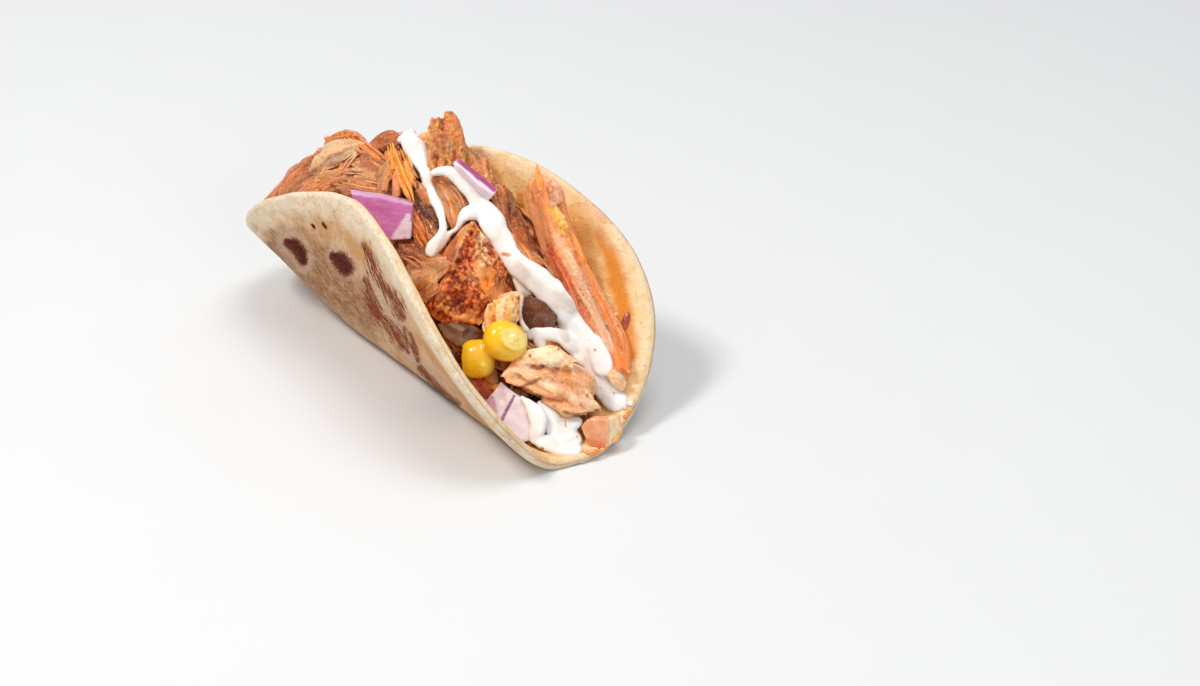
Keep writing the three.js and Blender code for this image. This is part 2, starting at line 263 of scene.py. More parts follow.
def to_mesh(name, v, f4, f3=None):
    """A mesh from points and four- and three-sided faces."""
    f3 = np.zeros((0, 3), int) if f3 is None else f3
    me = bpy.data.meshes.new(name)
    me.vertices.add(len(v))
    me.vertices.foreach_set("co", np.asarray(v, np.float32).ravel())
    loops = np.concatenate([np.asarray(f4).ravel(), np.asarray(f3).ravel()]).astype(np.int32)
    starts = np.concatenate([np.arange(len(f4)) * 4, len(f4) * 4 + np.arange(len(f3)) * 3]).astype(np.int32)
    me.loops.add(len(loops))
    me.loops.foreach_set("vertex_index", loops)
    me.polygons.add(len(starts))
    me.polygons.foreach_set("loop_start", starts)
    me.update(calc_edges=True)
    me.validate()
    return me


def piece(name, v, f4, f3, mat, slot, replaces=(), **values):
    """One object of the model, in metres, with its values at points stored for the material."""
    me = to_mesh(name, (np.asarray(v) - ORIGIN) / 1000.0, f4, f3)
    me.polygons.foreach_set("use_smooth", np.ones(len(me.polygons), bool))
    for key, val in values.items():
        val = np.asarray(val, np.float32)
        if val.ndim == 1:
            me.attributes.new(key, "FLOAT", "POINT").data.foreach_set("value", val)
        elif key == "tint":
            rgba = np.concatenate([val, np.ones((len(val), 1), np.float32)], 1)
            me.attributes.new(key, "FLOAT_COLOR", "POINT").data.foreach_set("color", rgba.ravel())
        else:
            me.attributes.new(key, "FLOAT_VECTOR", "POINT").data.foreach_set("vector", val.ravel())
    me.materials.append(mat)
    ob = bpy.data.objects.new(name, me)
    bpy.context.scene.collection.objects.link(ob)
    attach(ob, "root")
    if replaces:
        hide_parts(*replaces)
    return ob


def remesh(v, f4, f3, voxel, smoothing):
    """The outside of overlapping closed parts as one even mesh."""
    ob = bpy.data.objects.new("work", to_mesh("work", v, f4, f3))
    bpy.context.scene.collection.objects.link(ob)
    m = ob.modifiers.new("r", "REMESH")
    m.mode, m.voxel_size, m.adaptivity = "VOXEL", voxel, 0
    ob.modifiers.new("s", "SMOOTH").iterations = smoothing
    me = bpy.data.meshes.new_from_object(ob.evaluated_get(bpy.context.evaluated_depsgraph_get()))
    out = np.empty(len(me.vertices) * 3, np.float32)
    me.vertices.foreach_get("co", out)
    idx = np.empty(len(me.loops), np.int32)
    me.loops.foreach_get("vertex_index", idx)
    tot = np.empty(len(me.polygons), np.int32)
    me.polygons.foreach_get("loop_total", tot)
    start = np.empty(len(me.polygons), np.int32)
    me.polygons.foreach_get("loop_start", start)
    q = idx[start[tot == 4][:, None] + np.arange(4)]
    t = idx[start[tot == 3][:, None] + np.arange(3)]
    old = ob.data
    bpy.data.objects.remove(ob)
    bpy.data.meshes.remove(old)
    bpy.data.meshes.remove(me)
    return out.reshape(-1, 3).astype(float), q.astype(int), t.astype(int)


def normals(v, f4, f3):
    """The directions in which the points of a mesh face."""
    n = np.zeros_like(v)
    for f in (f4, f3):
        if len(f):
            d1, d2 = v[f[:, 2]] - v[f[:, 0]], v[f[:, -1]] - v[f[:, 1]]
            fn = np.cross(d1, d2)
            for k in range(f.shape[1]):
                np.add.at(n, f[:, k], fn)
    return unit(n)


def above_sheet(v):
    """Points kept above the flat bottom of the tortilla."""
    return np.column_stack([v[:, :2], np.maximum(v[:, 2], SHEET + 0.1)])


def in_mm(pixels, p):
    """A length in pixels of the picture as mm at the points p."""
    return pixels * ((EYE - p) @ BACK) / FOCAL


def tree(*parts):
    """A search tree over the faces of several parts."""
    vs, fs, n = [], [], 0
    for part in parts:
        v, f4, f3 = part[:3]
        vs.extend(map(tuple, v.tolist()))
        fs.extend((f4 + n).tolist())
        fs.extend((f3 + n).tolist())
        n += len(v)
    return BVHTree.FromPolygons(vs, fs)


def cast(t, px, py, depth_ref=None, lift=0.0):
    """Where a pixel's ray meets the tree, lifted off it; past its edge, the point as deep as depth_ref."""
    d = ray(px, py)
    hit, n, _, _ = t.ray_cast(Vector(EYE), Vector(d))
    if hit is None:
        return (place(px, py, depth_ref) if depth_ref is not None else None), BACK
    n = np.array(n)
    if n @ d > 0:
        n = -n
    return np.array(hit) + n * lift, n


def cast_line(t, pixels, count, lift=0.0, even=3):
    """A line drawn in pixels laid on the tree. Its depth is evened out so that it bridges hollows."""
    pts = spline(pixels, count)
    hits, ns, ref = [], [], None
    for px, py in pts[:, :2]:
        p, n = cast(t, px, py, ref, lift)
        hits.append(p)
        ns.append(n)
        ref = p if p is not None else ref
    known = next(p for p in hits if p is not None)
    for k, p in enumerate(hits):
        if p is None:
            hits[k] = place(pts[k, 0], pts[k, 1], known)
    hits, ns = np.array(hits), np.array(ns)
    depth = (hits - EYE) @ BACK
    if even:
        # the nearer of each neighbourhood wins, then an average, so a line passes over gaps
        wide = np.array([depth[max(0, k - even):k + even + 1].max() for k in range(count)])
        depth = np.array([wide[max(0, k - even):k + even + 1].mean() for k in range(count)])
        ns = unit(np.array([ns[max(0, k - even):k + even + 1].mean(0) for k in range(count)]))
        hits = np.array([EYE + ray(*pts[k, :2]) * (depth[k]
                                                   / (ray(*pts[k, :2]) @ BACK)) for k in range(count)])
    return hits, ns


def sweep(path, up, wide, deep, seed, tint=(0.5, 0.3, 0.2), rib=0.30, cell=1.7, ragged=1.4, groove_shade_keeps=GROOVE_SHADE,
          around=None):
    """A strip of meat along a path, grooved between its fibres, with painted shade in the grooves and frayed
    ends.
    Its half width and half depth are in mm."""
    path = np.asarray(path, float)
    m = len(path)
    tan = unit(np.gradient(path, axis=0))
    up = np.broadcast_to(up, path.shape)
    side = unit(np.cross(up, tan))
    top = np.cross(tan, side)
    run = np.concatenate([[0], np.cumsum(np.linalg.norm(np.diff(path, axis=0), axis=1))])
    t = np.linspace(0, 1, m)
    wide = np.broadcast_to(wide, (m,))[:, None]
    deep = np.broadcast_to(deep, (m,))[:, None]
    around = around or int(np.clip((wide.max() + deep.max()) * math.pi / 0.42, 8, 40))
    a = np.linspace(0, 2 * np.pi, around, endpoint=False)[None, :]
    c, s = np.cos(a), np.sin(a)
    x = np.sign(c) * np.abs(c) ** 0.85 * wide
    y = np.sign(s) * np.abs(s) ** 0.85 * deep
    at = np.stack(np.broadcast_arrays(x / cell, y / cell, run[:, None] * 0.06), -1)
    n = noise(at, 1.0, seed)
    fibre = np.sqrt(np.clip(np.abs(n) / 0.45, 0, 1.3)) - 0.55
    tone = noise(at * (0.8, 0.8, 0.6), 1.0, seed + 5)
    push = np.minimum(rib, 0.5 * deep) * fibre
    x, y = x + push * c, y + push * s
    end = (smooth(t, 0.78, 1) - smooth(1 - t, 0.78, 1))[:, None]
    slip = ragged * end * (0.3 + 1.3 * noise(at * (1.6, 1.6, 0), 1.0, seed + 9))
    v = path[:, None] + side[:, None] * x[..., None] + top[:, None] * y[..., None] + tan[:, None] * slip[...,
                                                                                                         None]
    v = v.reshape(-1, 3)
    ends = np.stack([path[0] - tan[0] * 0.1, path[-1] + tan[-1] * 0.1])
    # painted shade: the grooves between fibres are darker
    groove = smooth(0.16 - np.abs(n), 0.0, 0.16)[..., None]
    tint = np.asarray(tint, float)
    tint = np.broadcast_to(tint if tint.ndim == 1 else tint[:, None], v.reshape(m, around, 3).shape)
    col = tint * (1 - groove * (1 - np.asarray(groove_shade_keeps))) * (1 + 0.22 * tone[..., None])
    col = col * (1 + np.array([0.10, -0.02, -0.16]) * np.clip(tone[..., None] * 1.6, -0.8, 0.8))
    col = np.vstack([col.reshape(-1, 3), col[0, :1], col[-1, :1]])
    girth = a / (2 * np.pi) * np.pi * (wide + deep)
    grain = np.stack(np.broadcast_arrays(run[:, None], girth + seed * 31.7, girth * 0 + seed * 3.3),
                     -1).reshape(-1, 3)
    grain = np.vstack([grain, grain[:1], grain[-1:]])
    return np.vstack([v, ends]), grid_faces(m, around), end_faces(m, around), col, grain


# ---------------------------------------------------------------- the fold of the tortilla
def fold_table():
    """The folded sheet's middle surface, worked out on a grid of flat places x and s."""
    xs, ss = np.linspace(-80, 80, 161), np.linspace(-80, 80, 321)
    lean = xs / DISC_R
    near, far = np.clip(lean, 0, 9) ** 2, np.clip(-lean, 0, 9) ** 2
    lift = LIFT_FAR * (np.clip(-xs - REST_FAR, 0, 99) / (DISC_R - REST_FAR)) ** 2
    beyond = np.clip(np.abs(ss) - FLAT_HALF, 0, 99)[None, :]
    angle = np.zeros((len(xs), len(ss)))
    for wall, on in ((LEFT, ss < 0), (RIGHT, ss >= 0)):
        full = (wall[0] + wall[1] * lean + wall[2] * near + wall[3] * far)[:, None]
        a = full * np.tanh((beyond / BEND_R) ** 1.5) + wall[4] * (beyond / DISC_R) ** 3
        angle = np.where(on[None, :], np.sign(ss)[None, :] * np.radians(a), angle)
    step = ss[1] - ss[0]
    mid = len(ss) // 2

    def walk(f):
        c = np.concatenate([np.zeros((len(xs), 1)), np.cumsum((f[:, 1:] + f[:, :-1]) / 2 * step, axis=1)], 1)
        return c - c[:, mid:mid + 1]

    return xs, ss, walk(np.cos(angle)), walk(np.sin(angle)) + lift[:, None] + SHEET / 2, angle


XS, SS, FOLD_Y_TABLE, FOLD_Z_TABLE, FOLD_ANGLE = fold_table()


def fold(x, s, off):
    """The point of the folded sheet at flat place x, s, and off mm outside its middle."""
    fx = np.clip((x - XS[0]) / (XS[1] - XS[0]), 0, len(XS) - 1.001)
    fs = np.clip((s - SS[0]) / (SS[1] - SS[0]), 0, len(SS) - 1.001)
    i, j = fx.astype(int), fs.astype(int)
    u, w = fx - i, fs - j

    def at(table):
        return ((table[i, j] * (1 - u) + table[i + 1, j] * u) * (1 - w)
                + (table[i, j + 1] * (1 - u) + table[i + 1, j + 1] * u) * w)

    y, z, a = at(FOLD_Y_TABLE), at(FOLD_Z_TABLE), at(FOLD_ANGLE)
    return np.stack([x, y + off * np.sin(a), z - off * np.cos(a)], -1)


# ---------------------------------------------------------------- materials
def node_material(name):
    """A new material with its node helper and its one shader."""
    mat = bpy.data.materials.new(name)
    mat.use_nodes = True
    nt = mat.node_tree
    nt.nodes.clear()
    out = nt.nodes.new("ShaderNodeOutputMaterial")
    bsdf = nt.nodes.new("ShaderNodeBsdfPrincipled")
    nt.links.new(bsdf.outputs[0], out.inputs[0])
    return mat, Nodes(nt), bsdf


class Nodes:
    """Short calls for the nodes that the materials are made of."""

    def __init__(self, nt):
        self.nt = nt

    def node(self, kind, ins=None, **props):
        n = self.nt.nodes.new(kind)
        for k, v in props.items():
            setattr(n, k, v)
        self.fill(n, ins or {})
        return n

    def put(self, socket, v):
        if isinstance(v, bpy.types.NodeSocket):
            self.nt.links.new(v, socket)
        elif socket.type == "RGBA":
            socket.default_value = (*tuple(v)[:3], 1.0)
        elif socket.type == "VECTOR":
            socket.default_value = tuple(v)
        else:
            socket.default_value = v

    def fill(self, node, ins):
        for k, v in ins.items():
            self.put(node.inputs[k], v)

    def attribute(self, name, out="Fac"):
        return self.node("ShaderNodeAttribute", attribute_name=name).outputs[out]

    def where(self):
        return self.node("ShaderNodeTexCoord").outputs["Object"]

    def moved(self, vector, by):
        return self.node("ShaderNodeVectorMath", {0: vector, 1: by}, operation="ADD").outputs[0]

    def scaled(self, vector, by):
        return self.node("ShaderNodeVectorMath", {0: vector, 1: by}, operation="MULTIPLY").outputs[0]

    def noise(self, vector, scale, detail=3.0, rough=0.55, distortion=0.0):
        return self.node("ShaderNodeTexNoise", {"Vector": vector, "Scale": scale, "Detail": detail,
                                                "Roughness": rough, "Distortion": distortion}).outputs["Fac"]

    def cells(self, vector, scale, feature="F1"):
        ins = {"Vector": vector, "Scale": scale}
        return self.node("ShaderNodeTexVoronoi", ins, feature=feature).outputs["Distance"]

    def math(self, op, a, b):
        return self.node("ShaderNodeMath", {0: a, 1: b}, operation=op).outputs[0]

    def times(self, a, b):
        return self.math("MULTIPLY", a, b)

    def plus(self, a, b):
        return self.math("ADD", a, b)

    def minus(self, a, b):
        return self.math("SUBTRACT", a, b)

    def span(self, value, lo, hi, to_lo=0.0, to_hi=1.0, soft=True):
        return self.node("ShaderNodeMapRange", {"Value": value, "From Min": lo, "From Max": hi,
                                                "To Min": to_lo, "To Max": to_hi},
                         interpolation_type="SMOOTHSTEP" if soft else "LINEAR").outputs["Result"]

    def over(self, a, b, where, most):
        """Colour b laid over colour a, at most so much of it."""
        return self.mix(self.times(where, most), a, b)

    def tinted(self, a, b):
        """Colour a multiplied by colour b."""
        return self.mix(1.0, a, b, "MULTIPLY")

    def mix(self, fac, a, b, how="MIX"):
        n = self.node("ShaderNodeMix", data_type="RGBA", blend_type=how)
        self.put(n.inputs[0], fac)
        self.put(n.inputs[6], a)
        self.put(n.inputs[7], b)
        return n.outputs[2]

    def bump(self, height, strength, distance):
        return self.node("ShaderNodeBump", {"Height": height, "Strength": strength,
                                            "Distance": distance}).outputs[0]


def flesh(weight, radius, scale):
    """Light that goes into the skin: how much of it, and how far each colour goes, in metres."""
    return {"Subsurface Weight": weight, "Subsurface Radius": radius, "Subsurface Scale": scale}


def meat_material(name, gain, hue=(1.12, 0.94, 0.78)):
    mat, n, bsdf = node_material(name)
    tint = n.tinted(n.attribute("tint", "Color"), tuple(gain * h for h in hue))
    grain = n.attribute("grain", "Vector")
    where = n.where()
    fibre = n.noise(n.scaled(grain, (0.32, 2.4, 1.0)), 1.0, 4.0, 0.66, 0.6)
    fine = n.noise(n.scaled(grain, (0.9, 6.0, 1.0)), 1.0, 2.0, 0.6, 0.4)
    grit = n.noise(where, 1500.0, 3.0, 0.64)
    cloud = n.noise(where, 300.0, 3.0, 0.6)
    tone = n.plus(n.times(fibre, 0.52), n.plus(n.times(fine, 0.24), n.times(grit, 0.24)))
    # painted shade where the bump is low and painted highlight where it is high
    bump_groove_shade = n.span(tone, 0.40, 0.50, 1.0, 0.0)
    bump_ridge_light = n.span(tone, 0.49, 0.60)
    col = n.over(tint, n.tinted(tint, (1.04, 0.78, 0.5)), n.span(cloud, 0.52, 0.66), 0.45)
    col = n.over(col, n.tinted(tint, (1.06, 1.1, 1.14)), n.span(cloud, 0.34, 0.48, 1.0, 0.0), 0.6)
    col = n.over(col, n.tinted(col, (0.68, 0.44, 0.28)), bump_groove_shade, 0.38)
    pale = n.mix(0.3, n.tinted(col, (1.16, 1.2, 1.22)), rgb(255, 226, 188))
    col = n.over(col, pale, bump_ridge_light, 0.75)
    # painted highlight: pale glint specks on the fibres
    painted_wet_specks = n.times(n.span(n.noise(where, 1700.0, 2.0, 0.5), 0.58, 0.65), n.span(tone, 0.46, 0.54))
    col = n.over(col, n.mix(0.6, col, rgb(255, 238, 216)), painted_wet_specks, 0.6)
    height = n.plus(n.times(fibre, 1.4), n.plus(n.times(fine, 0.5), n.times(grit, 0.7)))
    bumpy = n.bump(height, 0.65, 0.0006)
    n.fill(bsdf, {"Base Color": col, "Roughness": n.span(grit, 0.32, 0.68, 0.12, 0.44, soft=False),
                  "Normal": bumpy, "Coat Normal": bumpy, **flesh(0.1, (1.0, 0.42, 0.2), 0.001), "IOR": 1.16,
                  "Coat Weight": 0.55, "Coat IOR": 1.38, "Coat Roughness": 0.07})
    return mat


def crust_material():
    """Roasted crust: glossy grains over the meat's own colours, with painted shade between the grains and
    painted glints on them. The value crust says where.
    """
    mat, n, bsdf = node_material("roast_crust")
    tint = n.tinted(n.attribute("tint", "Color"), (1.45, 1.17, 0.76))
    grain = n.attribute("grain", "Vector")
    crust = n.attribute("crust")
    where = n.where()
    streak = n.noise(n.scaled(grain, (0.14, 2.0, 1.0)), 1.0, 4.0, 0.6, 0.35)
    warp = n.noise(where, 700.0, 2.0)
    at = n.moved(where, n.scaled(warp, (0.0007, 0.0007, 0.0007)))
    lumps = n.cells(at, 760.0)
    mottle = n.noise(where, 420.0, 4.0, 0.62)
    # painted shade in the grooves of the streaks and painted highlight on their ridges
    dark = n.span(streak, 0.38, 0.50, 1.0, 0.0)
    plain = n.over(tint, n.tinted(tint, (0.66, 0.42, 0.24)), dark, 0.45)
    plain = n.over(plain, n.mix(0.55, tint, rgb(255, 216, 160)), n.span(streak, 0.52, 0.64), 0.3)
    roast = n.mix(n.span(mottle, 0.36, 0.56), n.tinted(tint, (0.7, 0.44, 0.3)), tint)
    # lighter orange on the beads, and darker in the gaps between them as painted shade
    roast = n.mix(n.span(lumps, 0.10, 0.42, 1.0, 0.0), roast, n.mix(0.5, roast, rgb(255, 170, 92)))
    roast = n.mix(n.span(lumps, 0.46, 0.76), roast, n.tinted(roast, (0.46, 0.25, 0.16)))
    # painted highlight: pale glints on the beads
    painted_bead_glint = n.times(n.span(lumps, 0.06, 0.2, 1.0, 0.0), n.span(n.noise(where, 500.0, 2.0), 0.46, 0.56))
    roast = n.over(roast, rgb(255, 220, 184), painted_bead_glint, 0.75)
    height = n.minus(n.times(streak, 0.6), n.times(lumps, crust))
    bumpy = n.bump(height, 0.9, 0.0009)
    n.fill(bsdf, {"Base Color": n.mix(crust, plain, roast),
                  "Roughness": n.span(mottle, 0.3, 0.7, 0.14, 0.4, soft=False), "Normal": bumpy,
                  "Coat Normal": bumpy, **flesh(0.06, (1.0, 0.38, 0.2), 0.001), "IOR": 1.25,
                  "Coat Weight": 0.75, "Coat IOR": 1.4, "Coat Roughness": 0.05})
    return mat


def tortilla_material():
    """Baked flour dough: mottle, rim, burn marks and stains follow the values at points."""
    mat, n, bsdf = node_material("flour_tortilla")
    flat = n.attribute("flat", "Vector")
    rim, mottle, char = n.attribute("rim"), n.attribute("mottle"), n.attribute("char")
    stain, halo = n.attribute("stain"), n.attribute("halo")
    streak, inner = n.attribute("streaked"), n.attribute("inner")
    broad = n.noise(flat, 0.055, 3.0, 0.5)
    blobs = n.noise(flat, 0.24, 3.0, 0.55, 0.6)
    spots = n.noise(flat, 0.62, 4.0, 0.62, 0.8)
    flour = n.noise(flat, 1.7, 4.0, 0.66)
    fleck = n.noise(flat, 0.9, 3.0, 0.7)
    veins = n.cells(n.moved(flat, n.scaled(flour, (1.2, 1.2, 1.2))), 0.3, "DISTANCE_TO_EDGE")
    cream, warm = rgb(238, 197, 156), rgb(224, 168, 110)
    inside, inside_warm = rgb(246, 206, 146), rgb(236, 172, 96)
    body = n.mix(n.span(broad, 0.44, 0.62), cream, warm)
    within = n.mix(n.span(broad, 0.46, 0.60), inside, inside_warm)
    within = n.over(within, rgb(236, 178, 106), n.span(blobs, 0.5, 0.62), 0.5)
    within = n.over(within, rgb(250, 218, 158), n.span(spots, 0.54, 0.68), 0.3)
    body = n.mix(inner, body, within)
    grey = n.mix(n.span(spots, 0.38, 0.60), rgb(150, 98, 64), rgb(198, 146, 106))
    patch = n.span(n.plus(n.times(n.plus(blobs, spots), 0.5), n.times(mottle, 0.3)), 0.56, 0.74)
    body = n.over(body, grey, patch, n.times(mottle, 0.95))
    pale = n.span(n.noise(flat, 0.20, 4.0, 0.70), 0.50, 0.62)
    body = n.over(body, rgb(222, 184, 142), pale, n.times(mottle, 0.55))
    spill = n.mix(inner, rgb(206, 148, 76), rgb(226, 136, 44))
    body = n.over(body, spill, n.span(n.plus(stain, n.times(blobs, 0.6)), 0.38, 1.1), 0.92)
    lines = n.times(n.span(veins, 0.0, 0.07, 1.0, 0.0), n.span(fleck, 0.5, 0.6))
    body = n.over(body, rgb(124, 68, 38), lines, n.times(mottle, 0.6))
    specks = n.span(n.noise(flat, 1.5, 2.0, 0.5), 0.65, 0.71)
    body = n.over(body, rgb(150, 90, 48), specks, n.times(n.minus(1.0, rim), 0.65))
    ring = n.span(n.plus(halo, n.minus(fleck, 0.5)), 0.05, 0.5)
    body = n.over(body, n.mix(n.span(flour, 0.4, 0.6), rgb(200, 158, 124), rgb(236, 210, 184)), ring, 0.7)
    drag = n.attribute("drag", "Vector")
    run = n.noise(n.scaled(drag, (0.16, 0.9, 1.0)), 1.0, 4.0, 0.66, 0.9)
    grit = n.noise(n.scaled(drag, (0.5, 1.9, 1.0)), 1.0, 3.0, 0.6, 0.4)
    burn = n.plus(n.times(streak, 0.36), n.plus(n.times(run, 1.3), n.times(grit, 0.5)))
    scorch = n.times(n.span(burn, 1.14, 1.17), n.span(streak, 0.05, 0.3))
    tanned = n.times(n.span(burn, 1.07, 1.15), n.span(streak, 0.05, 0.4, 0.0, 0.4))
    body = n.mix(tanned, body, rgb(202, 142, 92))
    body = n.mix(scorch, body, n.mix(n.span(grit, 0.44, 0.58), rgb(178, 84, 34), rgb(112, 36, 8)))
    edge = n.plus(char, n.times(n.minus(n.times(n.plus(flour, fleck), 0.5), 0.5), 3.0))
    toast = n.span(edge, -0.45, 0.15)
    burnt = n.span(edge, 0.0, 0.30)
    body = n.over(body, rgb(138, 62, 26), toast, 0.9)
    body = n.mix(burnt, body, n.mix(n.span(fleck, 0.42, 0.60), rgb(58, 10, 1), rgb(118, 40, 10)))
    # the rim is the dough's own pale unmarked edge, and its near-white is partly painted light
    body = n.over(body, n.mix(n.span(blobs, 0.42, 0.64), rgb(255, 238, 212), rgb(252, 222, 184)), rim,
                  n.span(inner, 0.0, 1.0, 0.9, 0.5))
    fine = n.noise(flat, 4.0, 2.0, 0.6)
    body = n.over(body, n.tinted(body, (0.74, 0.6, 0.46)), n.span(fine, 0.52, 0.66),
                  n.minus(0.2, n.times(rim, 0.12)))
    height = n.plus(n.times(flour, 0.5), n.times(blobs, 1.3))
    height = n.minus(height, n.times(lines, 0.3))
    height = n.plus(height, n.plus(n.times(fleck, 0.35), n.times(spots, 0.6)))
    height = n.minus(height, n.times(scorch, 0.25))
    height = n.times(height, n.minus(1.0, n.times(inner, 0.55)))
    n.fill(bsdf, {"Base Color": body, "Roughness": n.span(flour, 0.3, 0.7, 0.42, 0.62, soft=False),
                  "Normal": n.bump(height, 0.9, 0.001), **flesh(0.04, (1.0, 0.62, 0.36), 0.0008),
                  "IOR": 1.12})
    return mat


def sauce_material():
    """White sauce, thin where the value thin says, with spots of orange fat."""
    mat, n, bsdf = node_material("cream_sauce")
    where = n.where()
    spots, thin = n.attribute("spots"), n.attribute("thin")
    soft = n.noise(where, 130.0, 3.0, 0.5)
    grainy = n.noise(where, 900.0, 2.0, 0.5)
    col = n.mix(n.span(soft, 0.4, 0.65), rgb(247, 246, 244), rgb(242, 237, 229))
    sheer = n.mix(n.span(n.noise(where, 160.0, 3.0, 0.5), 0.34, 0.66), rgb(208, 186, 168), rgb(230, 216, 206))
    col = n.over(col, sheer, thin, 0.75)
    dots = n.span(n.cells(where, 330.0), 0.0, 0.10, 1.0, 0.0)
    col = n.over(col, rgb(222, 168, 96), dots, 0.55)
    dabs = n.span(n.plus(spots, n.times(n.minus(grainy, 0.5), 0.8)), 0.1, 0.7)
    col = n.over(col, n.mix(n.span(grainy, 0.4, 0.6), rgb(196, 104, 40), rgb(236, 168, 84)), dabs, 0.9)
    n.fill(bsdf, {"Base Color": col, "Roughness": n.span(soft, 0.3, 0.7, 0.2, 0.34, soft=False),
                  "Normal": n.bump(n.plus(soft, n.times(grainy, 0.1)), 0.5, 0.001),
                  **flesh(0.15, (1.0, 0.85, 0.7), 0.0012), "Coat Weight": 0.35, "Coat Roughness": 0.1,
                  "IOR": 1.42})
    return mat


def corn_material():
    """Glossy kernels."""
    mat, n, bsdf = node_material("sweetcorn")
    tint = n.attribute("tint", "Color")
    where = n.where()
    soft = n.noise(where, 260.0, 3.0, 0.55)
    fine = n.noise(where, 1500.0, 2.0, 0.5)
    col = n.over(tint, n.tinted(tint, (0.96, 0.8, 0.55)), n.span(soft, 0.42, 0.66), 0.45)
    col = n.over(col, rgb(255, 236, 150), n.span(fine, 0.5, 0.7), 0.18)
    n.fill(bsdf, {"Base Color": col, "Roughness": n.span(soft, 0.3, 0.7, 0.16, 0.3, soft=False),
                  "Normal": n.bump(n.plus(soft, n.times(fine, 0.12)), 0.35, 0.0005),
                  **flesh(0.3, (1.0, 0.62, 0.14), 0.0025), "Coat Weight": 0.5, "Coat Roughness": 0.08})
    return mat


def onion_material():
    """Crisp onion with fine fibres and pale dots."""
    mat, n, bsdf = node_material("red_onion")
    tint = n.attribute("tint", "Color")
    grain = n.attribute("grain", "Vector")
    fibre = n.noise(n.scaled(grain, (0.30, 1.3, 1.0)), 1.0, 4.0, 0.62)
    dots = n.cells(grain, 1.1)
    col = n.over(tint, n.tinted(tint, (0.88, 0.66, 0.78)), n.span(fibre, 0.36, 0.5, 1.0, 0.0), 0.18)
    col = n.over(col, rgb(250, 236, 240), n.span(fibre, 0.52, 0.7), 0.14)
    col = n.over(col, rgb(255, 245, 248), n.span(dots, 0.0, 0.16, 1.0, 0.0), 0.55)
    n.fill(bsdf, {"Base Color": col, "Roughness": n.span(fibre, 0.3, 0.7, 0.2, 0.36, soft=False),
                  "Normal": n.bump(n.plus(fibre, n.times(dots, 0.25)), 0.35, 0.0004),
                  **flesh(0.3, (1.0, 0.7, 0.8), 0.0022), "Coat Weight": 0.35, "Coat Roughness": 0.12})
    return mat


def wet_material(name, rough=0.24, scale=300.0, weight=0.3, scatter=(1.0, 0.3, 0.15), coat=0.4,
                 dark=(0.7, 0.45, 0.35), bloom=0.35, ior=1.45):
    """Tomato, mushroom-brown slices, herbs: a soft wet skin with cloudy colour."""
    mat, n, bsdf = node_material(name)
    tint = n.attribute("tint", "Color")
    where = n.where()
    cloud = n.noise(where, scale, 4.0, 0.6, 0.4)
    fine = n.noise(where, scale * 5, 2.0, 0.5)
    col = n.over(tint, n.tinted(tint, dark), n.span(cloud, 0.36, 0.56, 1.0, 0.0), 0.5)
    col = n.over(col, n.mix(0.5, tint, rgb(255, 226, 190)), n.span(cloud, 0.54, 0.74), bloom)
    col = n.over(col, n.mix(0.6, tint, rgb(255, 240, 220)), n.span(fine, 0.56, 0.72), 0.2)
    n.fill(bsdf, {"Base Color": col, "Roughness": n.span(cloud, 0.3, 0.7, rough - 0.06, rough + 0.12,
                                                         soft=False),
                  "Normal": n.bump(n.plus(cloud, n.times(fine, 0.2)), 0.5, 0.0005),
                  **flesh(weight, scatter, 0.0022), "IOR": ior, "Coat Weight": coat, "Coat IOR": ior,
                  "Coat Roughness": 0.1})
    return mat


# ---------------------------------------------------------------- the tortilla
# Marks on the outside of the left wall, as (x, y, radius) in pixels of the picture.
CHAR_PX = [
    [(288, 243, 4.5), (294, 245, 6.5), (300, 252, 6.5), (303, 261, 4.5)],
    [(333, 256, 4.0), (340, 260, 8.0), (346, 268, 8.0)],
    [(312.5, 225, 1.6), (315, 228, 1.2)],
    [(323, 223, 1.6), (326, 228, 1.4)],
    [(251, 224, 1.2), (254, 227, 1.8)],
    [(370, 236, 1.2), (371, 243, 1.6)],
]
HALO_PX = [
    [(288, 240, 17.0), (298, 250, 18.0), (304, 264, 13.0)],
    [(338, 256, 16.0), (346, 268, 16.0)],
    [(386, 289, 9.0), (388, 296, 8.0)],
    [(372, 258, 9), (381, 286, 11), (392, 312, 12), (403, 340, 12), (418, 362, 9), (440, 388, 7)],
]
STAIN_PX = [
    [(284, 216, 13.0), (297, 217, 12.0)],
    [(319, 200, 9.0), (321, 213, 10.0)],
    [(366, 205, 6.0), (369, 238, 7.0)],
    [(352, 203, 8.0)],
]
STREAK_PX = [
    [(364, 244, 4.6), (369, 256, 8.4), (375, 272, 9), (381, 283, 6)],
    [(366, 280, 6), (370, 298, 7.4), (374, 314, 7)],
    [(381, 284, 5), (391, 294, 9), (399, 308, 10), (402, 318, 6)],
    [(374, 304, 7), (380, 320, 8)],
    [(385, 320, 6.6), (394, 332, 11), (402, 346, 8)],
    [(410, 335, 4), (415, 350, 5.6), (418, 361, 4)],
    [(420, 368, 5), (438, 388, 5.4), (458, 404, 4.4)],
    [(404, 328, 4), (408, 352, 3.4)],
    [(252, 226, 3), (256, 230, 3)],
    [(424, 392, 4), (436, 402, 4)],
]
# Where the brown mottle of the left wall fades towards its near end: x in pixels.
MOTTLE_FADE_PX = (366, 400)
# Fat and juice on the inside of the right wall.
INNER_STAIN_PX = [
    [(600, 232, 9), (611, 256, 15), (617, 284, 17), (624, 312, 16), (630, 338, 12), (634, 356, 8)],
    [(508, 210, 8), (516, 214, 8)],
    [(520, 196, 6), (524, 214, 7)],
    [(596, 206, 7), (604, 222, 7)],
    [(582, 452, 5), (598, 453, 6), (612, 444, 6), (624, 428, 6), (632, 410, 5)],
]
INNER_SPOT_PX = [[(511, 211, 4.4), (518, 214, 5.4)], [(515, 221, 2.4)]]


